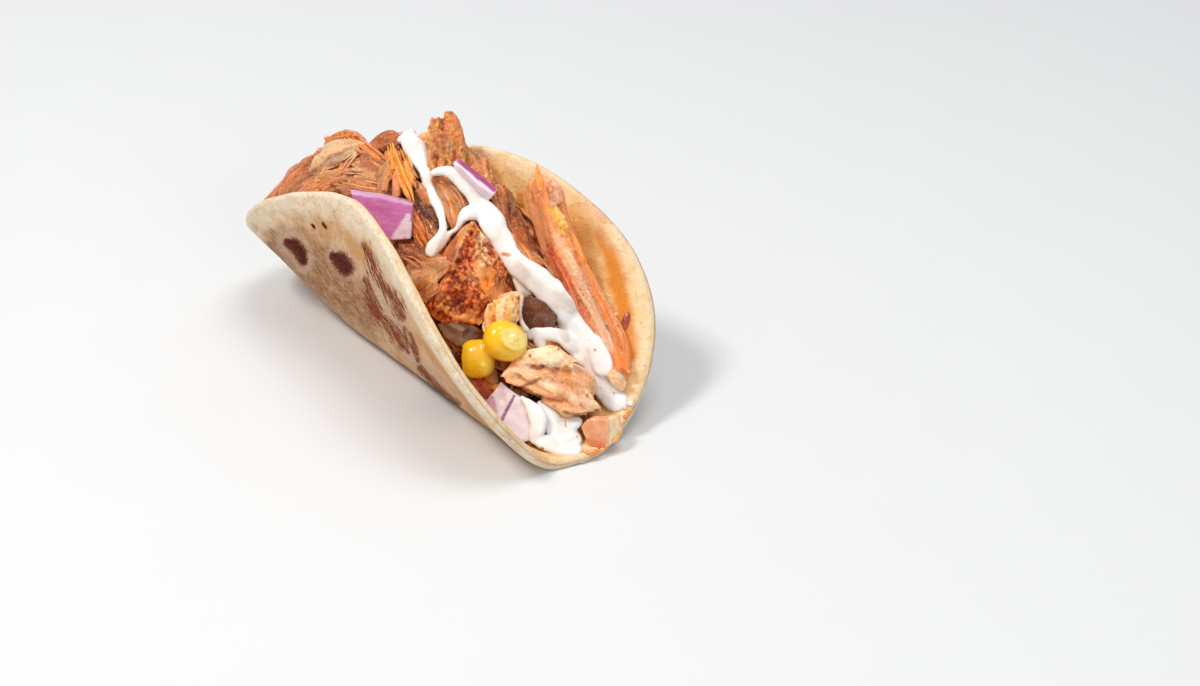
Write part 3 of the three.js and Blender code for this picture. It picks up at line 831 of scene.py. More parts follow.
def build_tortilla():
    """The disc of dough, two skins and a rounded edge, folded and marked."""
    rng = np.random.default_rng(11)
    around, rings = 440, 97
    radii = np.arange(1, rings + 1) * ((DISC_R - EDGE_ROUND) / rings)
    turns = np.radians([18, 36, 54, 72, 90])
    r = np.concatenate([radii, DISC_R - EDGE_ROUND + EDGE_ROUND * np.sin(turns)])
    thick = np.concatenate([np.ones(len(radii)), np.cos(turns)])
    a = np.linspace(0, 2 * np.pi, around, endpoint=False)
    ring = np.stack([np.cos(a), np.sin(a)], 1)
    wobble = 0.55 * noise(np.c_[ring * 3.2, a * 0], 1.0, 3) + 0.3 * noise(np.c_[ring * 9, a * 0], 1.0,
                                                                          4) - 0.1

    def side_of(which):
        rr, tt = r[:, None], thick[:, None]
        trim = NEAR_TRIM * np.exp(-((np.degrees(a) - NEAR_TRIM_AT) / NEAR_TRIM_WIDE) ** 2)
        reach = rr * (1 - DISC_LOBE * np.cos(3 * a)) + (wobble - trim)[None] * smooth(rr, 40, 75)
        x, s = reach * ring[:, 0], reach * ring[:, 1]
        flat = np.stack([x, s, 0 * x], -1)
        lip = 1 + 0.14 * smooth(rr, 50, 66) + 0.34 * smooth(rr, 62, 73) + 0.10 * layered(flat, 9.0, 21, 2)
        ripple = 0.30 * noise(flat, 22.0, 7) + 0.14 * noise(flat, 9.0, 8)
        ripple = ripple + 0.55 * noise(flat, 17.0, 31) * smooth(rr, 56, 75)
        ripple = ripple * smooth(np.abs(s), 5, 16)
        skin = 0.10 * layered(flat + which * 40, 5.0, 12, 3) * tt
        off = which * (SHEET / 2 * tt * lip) + ripple + which * skin
        keep = smooth(np.abs(s), FLAT_HALF - 1.5, FLAT_HALF + 5) if which > 0 else 1.0
        off = off * keep + which * (SHEET / 2 * tt) * (1 - keep)
        return fold(x, s, off), np.stack([x, s, 2 - 2 * which * tt + 0 * x], -1)

    v_out, flat_out = side_of(1)
    v_in, flat_in = side_of(-1)
    rows = len(r)
    mid = fold(np.zeros(2), np.zeros(2), np.array([SHEET / 2, -SHEET / 2]))
    v = np.vstack([v_out.reshape(-1, 3), v_in[:-1].reshape(-1, 3), mid])
    n_out, n_in = rows * around, (rows - 1) * around
    f_out = grid_faces(rows, around)
    f_in = grid_faces(rows - 1, around, n_out)[:, ::-1]
    k = np.arange(around)
    nxt = (k + 1) % around
    seam = np.stack([(rows - 1) * around + k, (rows - 1) * around + nxt, n_out + (rows - 2) * around + nxt,
                     n_out + (rows - 2) * around + k], 1)
    fans = np.vstack([np.stack([nxt, k, np.full(around, n_out + n_in)], 1),
                      np.stack([n_out + k, n_out + nxt, np.full(around, n_out + n_in + 1)], 1)])
    v[:, 2] = np.maximum(v[:, 2], 0.0)
    flat = np.vstack([flat_out.reshape(-1, 3), flat_in[:-1].reshape(-1, 3), [[0, 0, 0], [0, 0, 4]]])
    inner = np.concatenate([np.zeros(n_out), np.ones(n_in), [0, 1]])
    around_at = np.arctan2(flat[:, 1], flat[:, 0])
    rad = np.hypot(flat[:, 0], flat[:, 1]) / (1 - DISC_LOBE * np.cos(3 * around_at))
    rim = smooth(rad + 2.0 * noise(flat, 7.0, 41) + 1.0 * noise(flat, 2.6, 42) - 3.6 * inner, 65.0, 72.0)
    px = project(v)
    seen = (inner < 0.5) & (flat[:, 1] < -3)
    on = np.where(seen, 1.0, 0.0)
    char = np.where(seen, np.clip(stroke(px, CHAR_PX), -1, 1), -1.0)
    halo = on * np.clip(stroke(px, HALO_PX), 0, 1)
    stain = on * np.clip(stroke(px, STAIN_PX), 0, 1)
    streaked = on * np.clip(stroke(px, STREAK_PX), 0, 1) ** 0.5
    # toasted spots of the griddle on the faces that the picture doesn't show
    for _ in range(46):
        rr, aa = 68 * math.sqrt(rng.random()), rng.random() * 2 * math.pi
        c = np.array([rr * math.cos(aa), rr * math.sin(aa)])
        side, turn = rng.random() < 0.22, rng.random() * math.pi
        size = rng.uniform(1.2, 3.6) if not side else rng.uniform(0.8, 1.8)
        d = flat[:, :2] - c
        u = d[:, 0] * math.cos(turn) + d[:, 1] * math.sin(turn)
        w = -d[:, 0] * math.sin(turn) + d[:, 1] * math.cos(turn)
        far = np.hypot(u / size, w / (size * rng.uniform(0.45, 0.9)))
        where = (inner > 0.5) if side else ((inner < 0.5) & ~seen)
        limit = 0.25 if side else 1.0
        char = np.where(where, np.maximum(char, np.clip((1 - far) * limit, -1, limit)), char)
        halo = np.where(where, np.maximum(halo, np.clip(1.9 - far, 0, 1) * 0.8), halo)
    band = (inner < 0.5) & ~seen & (rad < 66)
    streaked = np.where(band, smooth(noise(flat, 20.0, 51), 0.40, 0.9) * 0.7, streaked)
    height = v[:, 2] / 70.0
    # The mottle grows towards the bottom of the outer wall, so the wall is darker towards the bottom; it
    # fades again at the very foot and towards the near end.
    mottle = np.where(inner > 0.5, 0.03, smooth(1 - height + 0.12 * noise(flat, 14.0, 43), 0.18,
                                                0.58)) * (1 - rim)
    mottle = mottle * np.where(seen, 1 - 0.85 * smooth(px[:, 0], *MOTTLE_FADE_PX),
                               0.75) * (0.45 + 0.55 * smooth(height, 0.02, 0.26))
    stain = np.where((inner < 0.5) & ~seen, smooth(noise(flat, 15.0, 61), 0.25, 0.9) * 0.35, stain)
    right = (inner > 0.5) & (flat[:, 1] > 3)
    stain = np.where(right, np.clip(stroke(px, INNER_STAIN_PX), 0, 1), stain)
    char = np.where(right, np.maximum(char, np.clip(stroke(px, INNER_SPOT_PX) - 0.35, -1, 0.3)), char)
    turn = np.radians(62.0)
    drag = np.stack([flat[:, 0] * np.cos(turn) + flat[:, 1] * np.sin(turn),
                     -flat[:, 0] * np.sin(turn) + flat[:, 1] * np.cos(turn), flat[:, 2]], 1)
    blister = np.clip(char, 0, 1) * 0.22 * (inner < 0.5)
    nrm = normals(v, np.vstack([f_out, f_in, seam]), fans)
    v = v + nrm * blister[:, None] * (v[:, 2] > 0.3)[:, None]
    piece("tortilla_folded", v, np.vstack([f_out, f_in, seam])[:, ::-1], fans[:, ::-1], tortilla_material(),
          "tortilla", ["tortilla"], flat=flat, inner=inner, rim=rim, char=char, halo=halo, stain=stain,
          streaked=streaked, mottle=mottle, drag=drag)
    return v, np.vstack([f_out, f_in, seam])[:, ::-1], fans[:, ::-1]


# ---------------------------------------------------------------- meat
TONES = {
    "tan": rgb(226, 172, 124), "pale": rgb(244, 204, 162), "brown": rgb(202, 136, 90),
    "orange": rgb(232, 148, 76),
    "bright": rgb(248, 166, 70), "dark": rgb(150, 86, 52), "red": rgb(184, 104, 68),
    "pink": rgb(230, 168, 132),
    "cream": rgb(252, 224, 184), "deep": rgb(110, 56, 32), "rust": rgb(204, 122, 70),
    "gold": rgb(246, 190, 104),
    "salmon": rgb(234, 148, 92), "blush": rgb(255, 232, 206),
}


def cad(name):
    """Points and faces of a CAD node, in the frame of the fold."""
    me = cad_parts[name].data
    co = np.empty(len(me.vertices) * 3, np.float32)
    me.vertices.foreach_get("co", co)
    me.calc_loop_triangles()
    t = np.empty(len(me.loop_triangles) * 3, np.int32)
    me.loop_triangles.foreach_get("vertices", t)
    v, inv = np.unique(np.round(co.reshape(-1, 3).astype(float) * 1000, 3), axis=0, return_inverse=True)
    return v + ORIGIN, np.zeros((0, 4), int), inv.ravel()[t.reshape(-1, 3)]


def middle(name):
    """The middle of a CAD node's box."""
    v = cad(name)[0]
    return (v.min(0) + v.max(0)) / 2


def hull(points):
    """The convex hull of points."""
    me = bpy.data.meshes.new("hull")
    me.from_pydata([tuple(p) for p in points], [], [])
    bm = bmesh.new()
    bm.from_mesh(me)
    got = bmesh.ops.convex_hull(bm, input=bm.verts)
    bmesh.ops.delete(bm, geom=[g for g in got["geom_interior"] if isinstance(g, bmesh.types.BMVert)],
                     context="VERTS")
    bmesh.ops.triangulate(bm, faces=bm.faces)
    bm.verts.index_update()
    v = np.array([tuple(p.co) for p in bm.verts])
    f = np.array([[q.index for q in g.verts] for g in bm.faces])
    bm.free()
    bpy.data.meshes.remove(me)
    return v, np.zeros((0, 4), int), f


def facing(v, n):
    """1 where points face the camera, 0 where they turn away."""
    return smooth((n * unit(EYE - v)).sum(1), -0.05, 0.35)


def painted(v, n, tint, dabs, seed=0, soft=0.7, ragged=0.35):
    """Brush dabs, in pixels of the picture, laid over the colours of the points that face the camera."""
    px, seen = project(v), facing(v, n)
    out = tint.copy()
    for k, (lines, colour, strength) in enumerate(dabs):
        w = stroke(px, lines) + ragged * layered(v, 2.4, seed + k, 2)
        w = smooth(w, 0.0, soft) * strength * seen
        out = out * (1 - w[:, None]) + np.asarray(colour) * w[:, None]
    return out


def march(t, start, heading, length, rng, step=1.3, lift=0.0, curl=0.0):
    """A path that follows the surface of a tree, with the surface's directions."""
    p, d, pts, ns = np.array(start, float), unit(heading), [], []
    for _ in range(max(8, int(length / step))):
        loc, n, _, _ = t.find_nearest(Vector(p))
        loc, n = np.array(loc), np.array(n)
        d = unit(d - n * (d @ n))
        d = unit(d + np.cross(n, d) * curl * step + rng.normal(0, 0.03, 3))
        pts.append(loc + n * lift)
        ns.append(n)
        p = loc + d * step
    pts, ns = np.array(pts), unit(np.array(ns))
    for _ in range(2):
        pts[1:-1] = (pts[:-2] + 2 * pts[1:-1] + pts[2:]) / 4
        ns[1:-1] = unit(ns[:-2] + ns[1:-1] + ns[2:])
    return pts, ns


def spots_on(v, f4, f3, count, rng, keep):
    """Random points spread over the faces for which keep(point, normal) holds."""
    f = np.vstack([f3, f4[:, :3], f4[:, [0, 2, 3]]]) if len(f4) else f3
    a, b, c = v[f[:, 0]], v[f[:, 1]], v[f[:, 2]]
    cr = np.cross(b - a, c - a)
    size = np.linalg.norm(cr, axis=1)
    mid, nn = (a + b + c) / 3, unit(cr)
    size = size * keep(mid, nn)
    k = rng.choice(len(f), count, p=size / size.sum())
    return mid[k], nn[k]


def taper(m, ends=0.25, blunt=0.35):
    """Widths along a strip that narrow towards its ends."""
    t = np.linspace(0, 1, m)
    return blunt + (1 - blunt) * smooth(np.minimum(t, 1 - t) / ends)


def rng_pick(items, rng):
    return items[rng.integers(len(items))]


def shade(name, rng, spread=0.10):
    """A tone, a little lighter or darker by chance."""
    c = TONES[name] if isinstance(name, str) else np.asarray(name)
    return np.clip(c * (1 + rng.normal(0, spread)) * (1 + rng.normal(0, spread * 0.35, 3)), 0.004, 0.95)


def lay(soup, t, line, tone, seed, lift=0.4, deep=0.5, even=3, ragged=2.0, rib=0.26):
    """A strip laid on the meat along a line of (x, y, half width) in pixels of the picture."""
    rng = np.random.default_rng(seed)
    line = np.array(line, float)
    run = np.linalg.norm(np.diff(line[:, :2], axis=0), axis=1).sum()
    m = max(10, int(run / 2.2))
    p, n = cast_line(t, line, m, lift, even)
    w = in_mm(spline(line, m)[:, 2], p) * taper(m, 0.10, 0.8) * (1 + 0.20 * noise(p, 3.0, seed))
    up = unit(n * 0.75 + BACK * 0.45 + RIGHTWARD * rng.uniform(-0.25, 0.25))
    soup.add(sweep(p, up, w, w * deep + 0.15, seed, shade(tone, rng, 0.05), rib, ragged=ragged))


def strands(soup, t, line, tone, seed, lift=0.4, count=6, thick=0.42):
    """Separate thin fibres side by side along a line of (x, y, half width) in pixels of the picture."""
    rng = np.random.default_rng(seed)
    line = np.array(line, float)
    run = np.linalg.norm(np.diff(line[:, :2], axis=0), axis=1).sum()
    m = max(10, int(run / 2.6))
    pts = spline(line, m)
    across = unit(np.stack([-np.gradient(pts[:, 1]), np.gradient(pts[:, 0])], 1))
    for k in range(count):
        u = (k + 0.5) / count * 2 - 1 + rng.normal(0, 0.18)
        a, b = int(rng.uniform(0, 0.25) * m), m - int(rng.uniform(0, 0.25) * m)
        sway = noise(np.c_[np.linspace(0, 2.2, m), np.full(m, seed * 1.0), np.full(m, k * 3.1)], 1.0, seed)
        px = pts[a:b, :2] + across[a:b] * (pts[a:b, 2] * (u + 0.35 * sway[a:b]))[:, None]
        if cast(t, *px[len(px) // 2])[0] is None:
            continue
        p, n = cast_line(t, px, b - a, lift + rng.uniform(-0.2, 0.6), 2)
        w = thick * rng.uniform(0.6, 1.4) * taper(b - a, 0.2, 0.45)
        soup.add(sweep(p, n, w, w * 0.8, seed * 10 + k, shade(tone, rng, 0.10), 0.10, 1.0, 0.5, around=8))


def transfer(v, source):
    """The colour and grain of the nearest point of the parts that a mesh was made from."""
    sv, tint, grain = source[0], source[3], source[4]
    kd = KDTree(len(sv))
    for i, p in enumerate(sv.tolist()):
        kd.insert(p, i)
    kd.balance()
    near = np.fromiter((kd.find(p)[1] for p in v.tolist()), int, len(v))
    return tint[near], grain[near]


def melted(soup, voxel, smoothing):
    """Overlapping parts as one skin with their colours."""
    whole = soup.done()
    v, f4, f3 = remesh(*whole[:3], voxel, smoothing)
    return v, f4, f3, *transfer(v, whole)


def relax(values, f4, times=1):
    """Values at points averaged with their neighbours'."""
    a, b = f4.ravel(), np.roll(f4, -1, axis=1).ravel()
    count = (1 + np.bincount(a, minlength=len(values)))[:, None]
    for _ in range(times):
        total = [np.bincount(a, values[b, k], len(values)) for k in range(values.shape[1])]
        values = (values + np.stack(total, 1)) / count
    return values


def hollow_shade_ridge_light(v, f4, f3, tint, dark=(0.48, 0.29, 0.18), depth=0.9, light=0.3):
    """Painted shade in the hollows between fibres, deeper and redder there, and painted light on their
    ridges.
    """
    n = normals(v, f4, f3)
    near = ((relax(v, f4, 5) - v) * n).sum(1)
    wide = ((relax(v, f4, 30) - v) * n).sum(1)
    # painted shade, deepest in the hollows between fibres
    hollow_shade = np.clip(0.65 * smooth(near, 0.015, 0.13) + 0.85 * smooth(wide, 0.06, 0.75), 0, 1)[:, None] * depth
    # painted light on the ridges
    top = smooth(-near, 0.02, 0.13)[:, None] * light
    out = tint * (1 - hollow_shade * (1 - np.asarray(dark)))
    return out * (1 - top) + np.clip(out * 0.62 + rgb(255, 224, 182) * 0.38, 0, 0.95) * top


def body_part(v, f4, f3, heading, tint, seed=0, relief=0.25):
    """A closed body whose skin is ribbed along a heading, with painted shade in the grooves and painted light
    on the ribs.
    """
    heading = unit(heading)
    a1 = unit(np.cross(heading, (0.3, 0.2, 0.9)))
    a2 = np.cross(heading, a1)
    g = np.stack([v @ heading, v @ a1, v @ a2], 1)
    n = normals(v, f4, f3)
    rib = noise(g * (0.12, 1, 1), 2.2, seed) + 0.5 * noise(g * (0.2, 1, 1), 2.2 * 0.45, seed + 3)
    out = v + n * (rib * relief + 0.35 * layered(v, 5.0, seed + 7, 2))[:, None]
    # painted shade in the grooves and painted light on the ribs
    groove = np.clip(-rib * 1.3, 0, 1)[:, None]
    tint = np.broadcast_to(tint, v.shape) * (1 - groove * (1 - np.asarray(GROOVE_SHADE)))
    tint = tint * (1 + 0.18 * np.clip(rib, 0, 1))[:, None]
    return out, f4, f3, tint, g


def placed(points, ref):
    """Points of the picture: x, y in pixels and mm towards the camera, from the depth of ref."""
    return np.array([place(x, y, ref, d) for x, y, d in points])


def heading_of(ends, ref):
    """The way from the first to the second of two points of the picture."""
    a, b = placed(ends, ref)
    return b - a


def drawn(line, ref, toward, count, ends, uneven, size, seed):
    """A path and its half widths in mm, from a line of (x, y, half width) in pixels of the picture."""
    pts = spline(line, count)
    p = np.array([place(x, y, ref, toward) for x, y, _ in pts])
    return p, in_mm(pts[:, 2], p) * taper(count, *ends) * (1 + uneven * noise(p, size, seed))


def scatter(soup, box, count, rng, length, way_of, lift, wide, blunt, tones, spread, ragged, seed):
    """Short strips at random over a body, inside a box of the picture.
    Their length, lift and width are ranges in mm."""
    t = tree(soup.done())
    for k in range(count):
        at = cast(t, rng.uniform(*box[0]), rng.uniform(*box[1]))[0]
        if at is None:
            continue
        ln = rng.uniform(*length)
        back, way = way_of(rng)
        p, n = march(t, at - back * ln / 2, way, ln, rng, 1.0, rng.uniform(*lift))
        w = rng.uniform(*wide) * taper(len(p), 0.2, blunt)
        soup.add(sweep(p, n, w, w * 0.8, seed + k, shade(tones[k % len(tones)], rng, spread), 0.16, 1.2,
                       ragged))


def fibred(base, heading, tones, spread, rng, count, length, wide, deep, voxel, keep=None, seed=0,
           relief=0.25, wander=0.25):
    """A piece of meat: a body under many strips that follow its fibres, melted into one skin."""
    v, f4, f3 = base
    t = tree((v, f4, f3))
    soup = Soup()
    skin = shade(rng_pick(tones, rng), rng, spread)
    soup.add(body_part(v - normals(v, f4, f3) * 0.45, f4, f3, heading, skin, seed, relief))
    keep = keep or (lambda p, n: 1.0)
    starts = spots_on(v, f4, f3, count, rng, keep)[0]
    for k in range(count):
        h = unit(heading) + rng.normal(0, wander, 3) * 0.6
        ln = length * rng.uniform(0.5, 1.25)
        p, n = march(t, starts[k] - unit(heading) * ln / 2, h, ln, rng, lift=rng.uniform(-0.15, 0.35))
        w = wide * rng.uniform(0.5, 1.35) * taper(len(p), 0.2, 0.45)
        thick = np.minimum(w * 0.8, deep) * rng.uniform(0.7, 1.2)
        soup.add(sweep(p, n, w, thick, seed * 100 + k, shade(rng_pick(tones, rng), rng, spread), 0.18, 1.2,
                       1.0))
    v, f4, f3, tint, grain = melted(soup, voxel, 1)
    return v, f4, f3, relax(tint, f4), grain


def build_core():
    """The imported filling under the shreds: the heap's own solid, drawn in a little."""
    v, f4, f3 = remesh(*cad("pulled_meat"), 1.15, 2)
    n = normals(v, f4, f3)
    top = smooth(n[:, 2], 0.1, 0.6)
    v = v - n * (0.35 + top * (1.7 + 1.3 * layered(v, 8.0, 71, 3)))[:, None]
    n = normals(v, f4, f3)
    rough = layered(v, 3.2, 72, 3)
    v = v + n * (rough * 0.55 * top)[:, None]
    mixed = smooth(layered(v, 7.0, 73, 3), -0.35, 0.4)[:, None]
    tint = TONES["dark"] * (1 - mixed) + TONES["brown"] * mixed
    # painted shade: darker in the hollows of its rough skin
    tint = tint * (1 - 0.5 * np.clip(-rough, 0, 1))[:, None]
    return v, f4, f3, tint, v * (0.6, 0.6, 0.6)


SHRED_TONES = ["tan", "brown", "tan", "orange", "dark", "pink", "pale", "brown", "tan", "tan"]
# The pale left slope of the heap.
HEAP_DABS = [([[(266, 200, 12), (286, 186, 16), (306, 168, 16), (320, 150, 9)]], rgb(246, 204, 168), 0.9)]
# Strips of the shredded meat that the picture shows one by one: tone, lift in mm, how many fibres lie
# on it, (x, y, half width) in pixels.
FAR_STRIPS_PX = [
    ("pink", 0.6, 12, [(272, 199, 5), (286, 188, 9), (302, 174, 11), (318, 158, 9)]),
    ("tan", 0.8, 12, [(280, 196, 6), (296, 182, 9), (312, 166, 9), (326, 148, 7)]),
    ("pink", 1.2, 8, [(290, 196, 6), (304, 182, 7), (320, 168, 6)]),
    ("tan", 1.4, 8, [(300, 198, 7), (314, 186, 8), (330, 178, 7), (346, 176, 5)]),
    ("brown", 1.6, 6, [(322, 192, 6), (336, 186, 7), (350, 188, 6)]),
    ("blush", 3.0, 0, [(318, 170, 7), (330, 158, 12), (346, 151, 13), (360, 149, 8)]),
    ("blush", 3.2, 0, [(326, 151, 5), (338, 146, 7), (353, 145, 6)]),
    ("orange", 2.2, 8, [(324, 148, 3), (330, 140, 4), (342, 136, 5), (352, 134, 4)]),
    ("orange", 3.2, 6, [(344, 133, 3.4), (353, 139, 5), (364, 147, 5.4), (376, 156, 5), (389, 165, 3.6)]),
    ("gold", 3.8, 4, [(350, 132, 2.6), (364, 134, 3.4), (374, 141, 3.4), (384, 152, 3), (392, 160, 2)]),
    ("brown", 2.2, 8, [(362, 155, 5), (372, 162, 6.4), (384, 170, 6), (392, 177, 4)]),
    ("rust", 2.6, 10, [(370, 148, 5), (380, 141, 8), (392, 137, 8), (399, 142, 6)]),
    ("orange", 3.0, 6, [(372, 140, 4), (386, 136, 5), (398, 138, 4)]),
    ("bright", 4.2, 6, [(389, 141, 4), (391, 152, 4.6), (396, 167, 4.8), (402, 181, 4.6), (408, 195, 3.8),
                        (412, 205, 2.4)]),
    ("orange", 3.4, 6, [(399, 150, 4), (403, 163, 5), (408, 176, 5), (413, 192, 3.6)]),
    ("gold", 3.2, 5, [(404, 156, 4), (409, 168, 4.4), (412, 178, 4), (414, 189, 3)]),
    ("tan", 2.6, 0, [(389, 164, 4), (385, 174, 6), (383, 184, 6.4), (381, 196, 5.6)]),
    ("pink", 2.4, 0, [(399, 172, 4), (397, 184, 5.4), (396, 198, 5)]),
    ("tan", 1.6, 10, [(343, 178, 6), (358, 179, 8), (372, 181, 8), (388, 184, 7)]),
    ("brown", 1.2, 8, [(342, 190, 5), (358, 192, 6), (374, 195, 6), (388, 199, 5)]),
    ("pale", 2.4, 5, [(346, 171, 3.6), (362, 172, 4), (380, 176, 3.6)]),
]
MID_STRIPS_PX = [
    # The first two strips are very dark as painted shade of the deep hollow between the strips there.
    ("deep", 0.2, 10, [(408, 188, 6), (418, 204, 9), (428, 222, 10), (432, 236, 7)]),
    ("dark", 0.6, 7, [(414, 190, 6), (425, 204, 7), (434, 220, 7)]),
    ("tan", 1.3, 5, [(418, 184, 4), (426, 196, 4.4), (432, 210, 4)]),
    ("rust", 1.4, 7, [(409, 208, 5), (415, 222, 6), (422, 240, 6)]),
    ("orange", 1.8, 5, [(411, 216, 4), (417, 229, 4.6), (424, 242, 4.4)]),
    ("brown", 0.8, 9, [(422, 226, 8), (433, 238, 9), (442, 250, 7)]),
    ("brown", 0.6, 9, [(398, 243, 7), (410, 250, 10), (426, 258, 10), (440, 262, 7)]),
    ("dark", 1.0, 7, [(402, 248, 6), (416, 253, 8), (430, 264, 8)]),
    ("brown", 1.4, 6, [(404, 254, 5), (414, 258, 6), (428, 268, 6)]),
    ("tan", 1.4, 12, [(408, 268, 8), (420, 271, 11), (436, 268, 10), (448, 262, 6)]),
    ("pale", 1.8, 9, [(410, 278, 7), (422, 279, 9), (438, 274, 8)]),
    ("tan", 2.2, 10, [(414, 292, 7), (424, 288, 9), (436, 281, 8)]),
    ("orange", 2.6, 6, [(418, 300, 5), (427, 293, 6), (436, 284, 5)]),
    ("cream", 2.2, 5, [(416, 284, 5), (428, 281, 6), (440, 274, 5)]),
    ("brown", 0.9, 10, [(436, 176, 6), (448, 182, 9), (462, 191, 10), (474, 202, 7)]),
    ("tan", 1.4, 12, [(440, 184, 6), (450, 196, 9), (458, 212, 9), (462, 224, 5)]),
    ("pale", 1.9, 7, [(443, 194, 5), (450, 208, 7), (455, 226, 5.6)]),
    ("orange", 2.1, 5, [(449, 200, 4), (454, 212, 4.6), (457, 228, 4)]),
    ("brown", 1.4, 5, [(438, 180, 5), (448, 184, 5), (459, 189, 4)]),
    ("dark", 0.8, 5, [(440, 187, 4), (451, 191, 5), (462, 198, 5)]),
    ("dark", 0.2, 12, [(504, 206, 10), (512, 230, 12), (524, 252, 12), (536, 274, 11)]),
    ("dark", 0.8, 12, [(510, 212, 8), (518, 236, 10), (530, 258, 10), (542, 278, 8)]),
    ("red", 1.2, 7, [(518, 230, 6), (529, 248, 7), (541, 266, 7)]),
    ("rust", 1.6, 7, [(512, 222, 5), (521, 242, 6), (534, 262, 6)]),
    ("rust", 3.0, 0, [(494, 188, 6), (499, 198, 7), (502, 209, 7), (505, 222, 5)]),
    ("orange", 3.6, 6, [(494, 187, 5), (498, 196, 6), (501, 210, 5)]),
    ("dark", 2.4, 4, [(507, 190, 3), (511, 202, 4), (513, 216, 3)]),
    ("tan", 2.4, 9, [(512, 240, 5), (526, 258, 8), (540, 274, 8), (552, 288, 7), (560, 298, 5)]),
    ("gold", 3.0, 4, [(518, 252, 3), (532, 268, 4), (546, 284, 4)]),
]

# Loose ends that fray from the heap's edge: tone, lift in mm, how many, (x, y, half width) in pixels.
FRAY_PX = [
    ("orange", 1.2, 5, [(338, 152, 5), (331, 144, 4), (325, 137, 2.5)]),
    ("gold", 1.4, 4, [(352, 146, 4), (346, 137, 3.4), (341, 131, 2)]),
    ("tan", 1.0, 4, [(330, 160, 5), (321, 152, 4), (317, 148, 2)]),
    ("orange", 1.0, 4, [(318, 170, 5), (310, 162, 4), (306, 158, 2.4)]),
    ("brown", 0.8, 4, [(304, 184, 5), (296, 176, 4), (292, 171, 2.4)]),
    ("tan", 1.2, 5, [(362, 148, 4), (354, 139, 3.6), (347, 132, 2)]),
    ("rust", 1.6, 4, [(396, 146, 5), (399, 138, 4), (402, 132, 2)]),
    ("orange", 1.6, 4, [(384, 144, 5), (388, 136, 4), (390, 131, 2)]),
    ("cream", 3.4, 4, [(340, 166, 5), (349, 158, 5), (357, 150, 3)]),
    ("cream", 3.4, 4, [(322, 168, 4), (332, 160, 5), (342, 154, 3)]),
    ("tan", 2.0, 5, [(316, 180, 6), (330, 172, 6), (346, 166, 5)]),
    ("gold", 3.4, 4, [(402, 164, 5), (410, 172, 5), (417, 182, 4)]),
    ("orange", 2.8, 5, [(418, 226, 5), (422, 236, 5), (428, 246, 4)]),
]


def flap(soup, t, start, heading, rng, length, lift, wide, deep, seed, tone=None, uneven=0.0):
    """One torn flap of meat that lies on the tree. Its length, lift, width and depth are ranges in mm."""
    ln = rng.uniform(*length)
    p, n = march(t, start - heading * ln / 2, heading, ln, rng, 1.1, rng.uniform(*lift), rng.normal(0, 0.02))
    w = rng.uniform(*wide) * taper(len(p), 0.14, 0.6) * (1 + uneven * noise(p, 3.0, seed % 1000))
    n = unit(n + rng.normal(0, 0.25, 3))
    thick = rng.uniform(*deep) + 0.05 * w
    soup.add(sweep(p, n, w, thick, seed, shade(tone or rng_pick(SHRED_TONES, rng), rng, 0.08), 0.34, 1.8,
                   2.0))


def bundle(soup, t, start, side, heading, rng, count, length, lift, seed, tone, slip=0.0):
    """Fibres side by side that lie on the tree. Their lengths and lifts are ranges in mm."""
    for j in range(count):
        ln = rng.uniform(*length)
        at = start + side * rng.normal(0, 1.4) - heading * (ln / 2 + (rng.normal(0, slip) if slip else 0.0))
        way = heading + side * rng.normal(0, 0.16)
        p, n = march(t, at, way, ln, rng, 1.2, rng.uniform(*lift), rng.normal(0, 0.04))
        w = rng.uniform(0.24, 0.55) * taper(len(p), 0.2, 0.5)
        soup.add(sweep(p, n, w, w * 0.85, seed + j, shade(tone, rng, 0.14), 0.10, 1.0, 0.6, around=7))


def build_shreds(core):
    """The pulled meat of the heap: torn flaps melted into the core, and bundles of loose fibres over them."""
    rng = np.random.default_rng(23)
    t = tree(core)

    def on_top(p, n):
        return smooth(n[:, 2], 0.05, 0.5) * (p[:, 0] < 46)

    def far_end(p, n):
        return smooth(-n[:, 0], 0.1, 0.5) * (p[:, 0] < -15)

    flaps, loose = Soup(), Soup()
    flaps.add(core)
    for k, start in enumerate(spots_on(*core[:3], 110, rng, on_top)[0]):
        h = unit(rng.normal(0, 1, 3) * (1.0, 0.8, 0.7))
        flap(flaps, t, start, h, rng, (7, 18), (0.0, 0.9), (1.2, 3.0), (0.6, 1.2), 1000 + k, None, 0.25)
    starts, ns = spots_on(*core[:3], 90, rng, on_top)
    for k, start in enumerate(starts):
        h = unit(rng.normal(0, 1, 3) * (1.0, 0.8, 0.6))
        tone = rng_pick(SHRED_TONES, rng)
        side = unit(np.cross(ns[k], h))
        bundle(loose, t, start, side, h, rng, rng.integers(4, 9), (6, 16), (0.6, 1.9), 9000 + k * 10, tone,
               1.5)
    starts, ns = spots_on(*core[:3], 64, rng, far_end)
    for k, start in enumerate(starts):
        h = unit(rng.normal(0, 1, 3) * (0.7, 1.0, 0.9))
        tone = rng_pick(SHRED_TONES, rng)
        if k < 44:
            flap(flaps, t, start, h, rng, (7, 16), (0.1, 1.0), (0.9, 2.2), (0.6, 1.1), 3000 + k, tone)
        else:
            side = unit(np.cross(ns[k], h))
            bundle(loose, t, start, side, h, rng, 5, (6, 14), (0.6, 1.7), 12000 + k * 10, tone)
    v, f4, f3, tint, grain = melted(flaps, 0.60, 1)
    v = torn(v, f4, f3, 74, 0.55)
    tint = painted(v, normals(v, f4, f3), relax(tint, f4), HEAP_DABS, 75)
    # painted shade in the hollows and painted light on the ridges
    tint = hollow_shade_ridge_light(v, f4, f3, tint, (0.54, 0.34, 0.22), 0.85, 0.3)
    fibres, *rest = loose.done()
    return (v, f4, f3, tint, grain), (above_sheet(fibres), *rest)


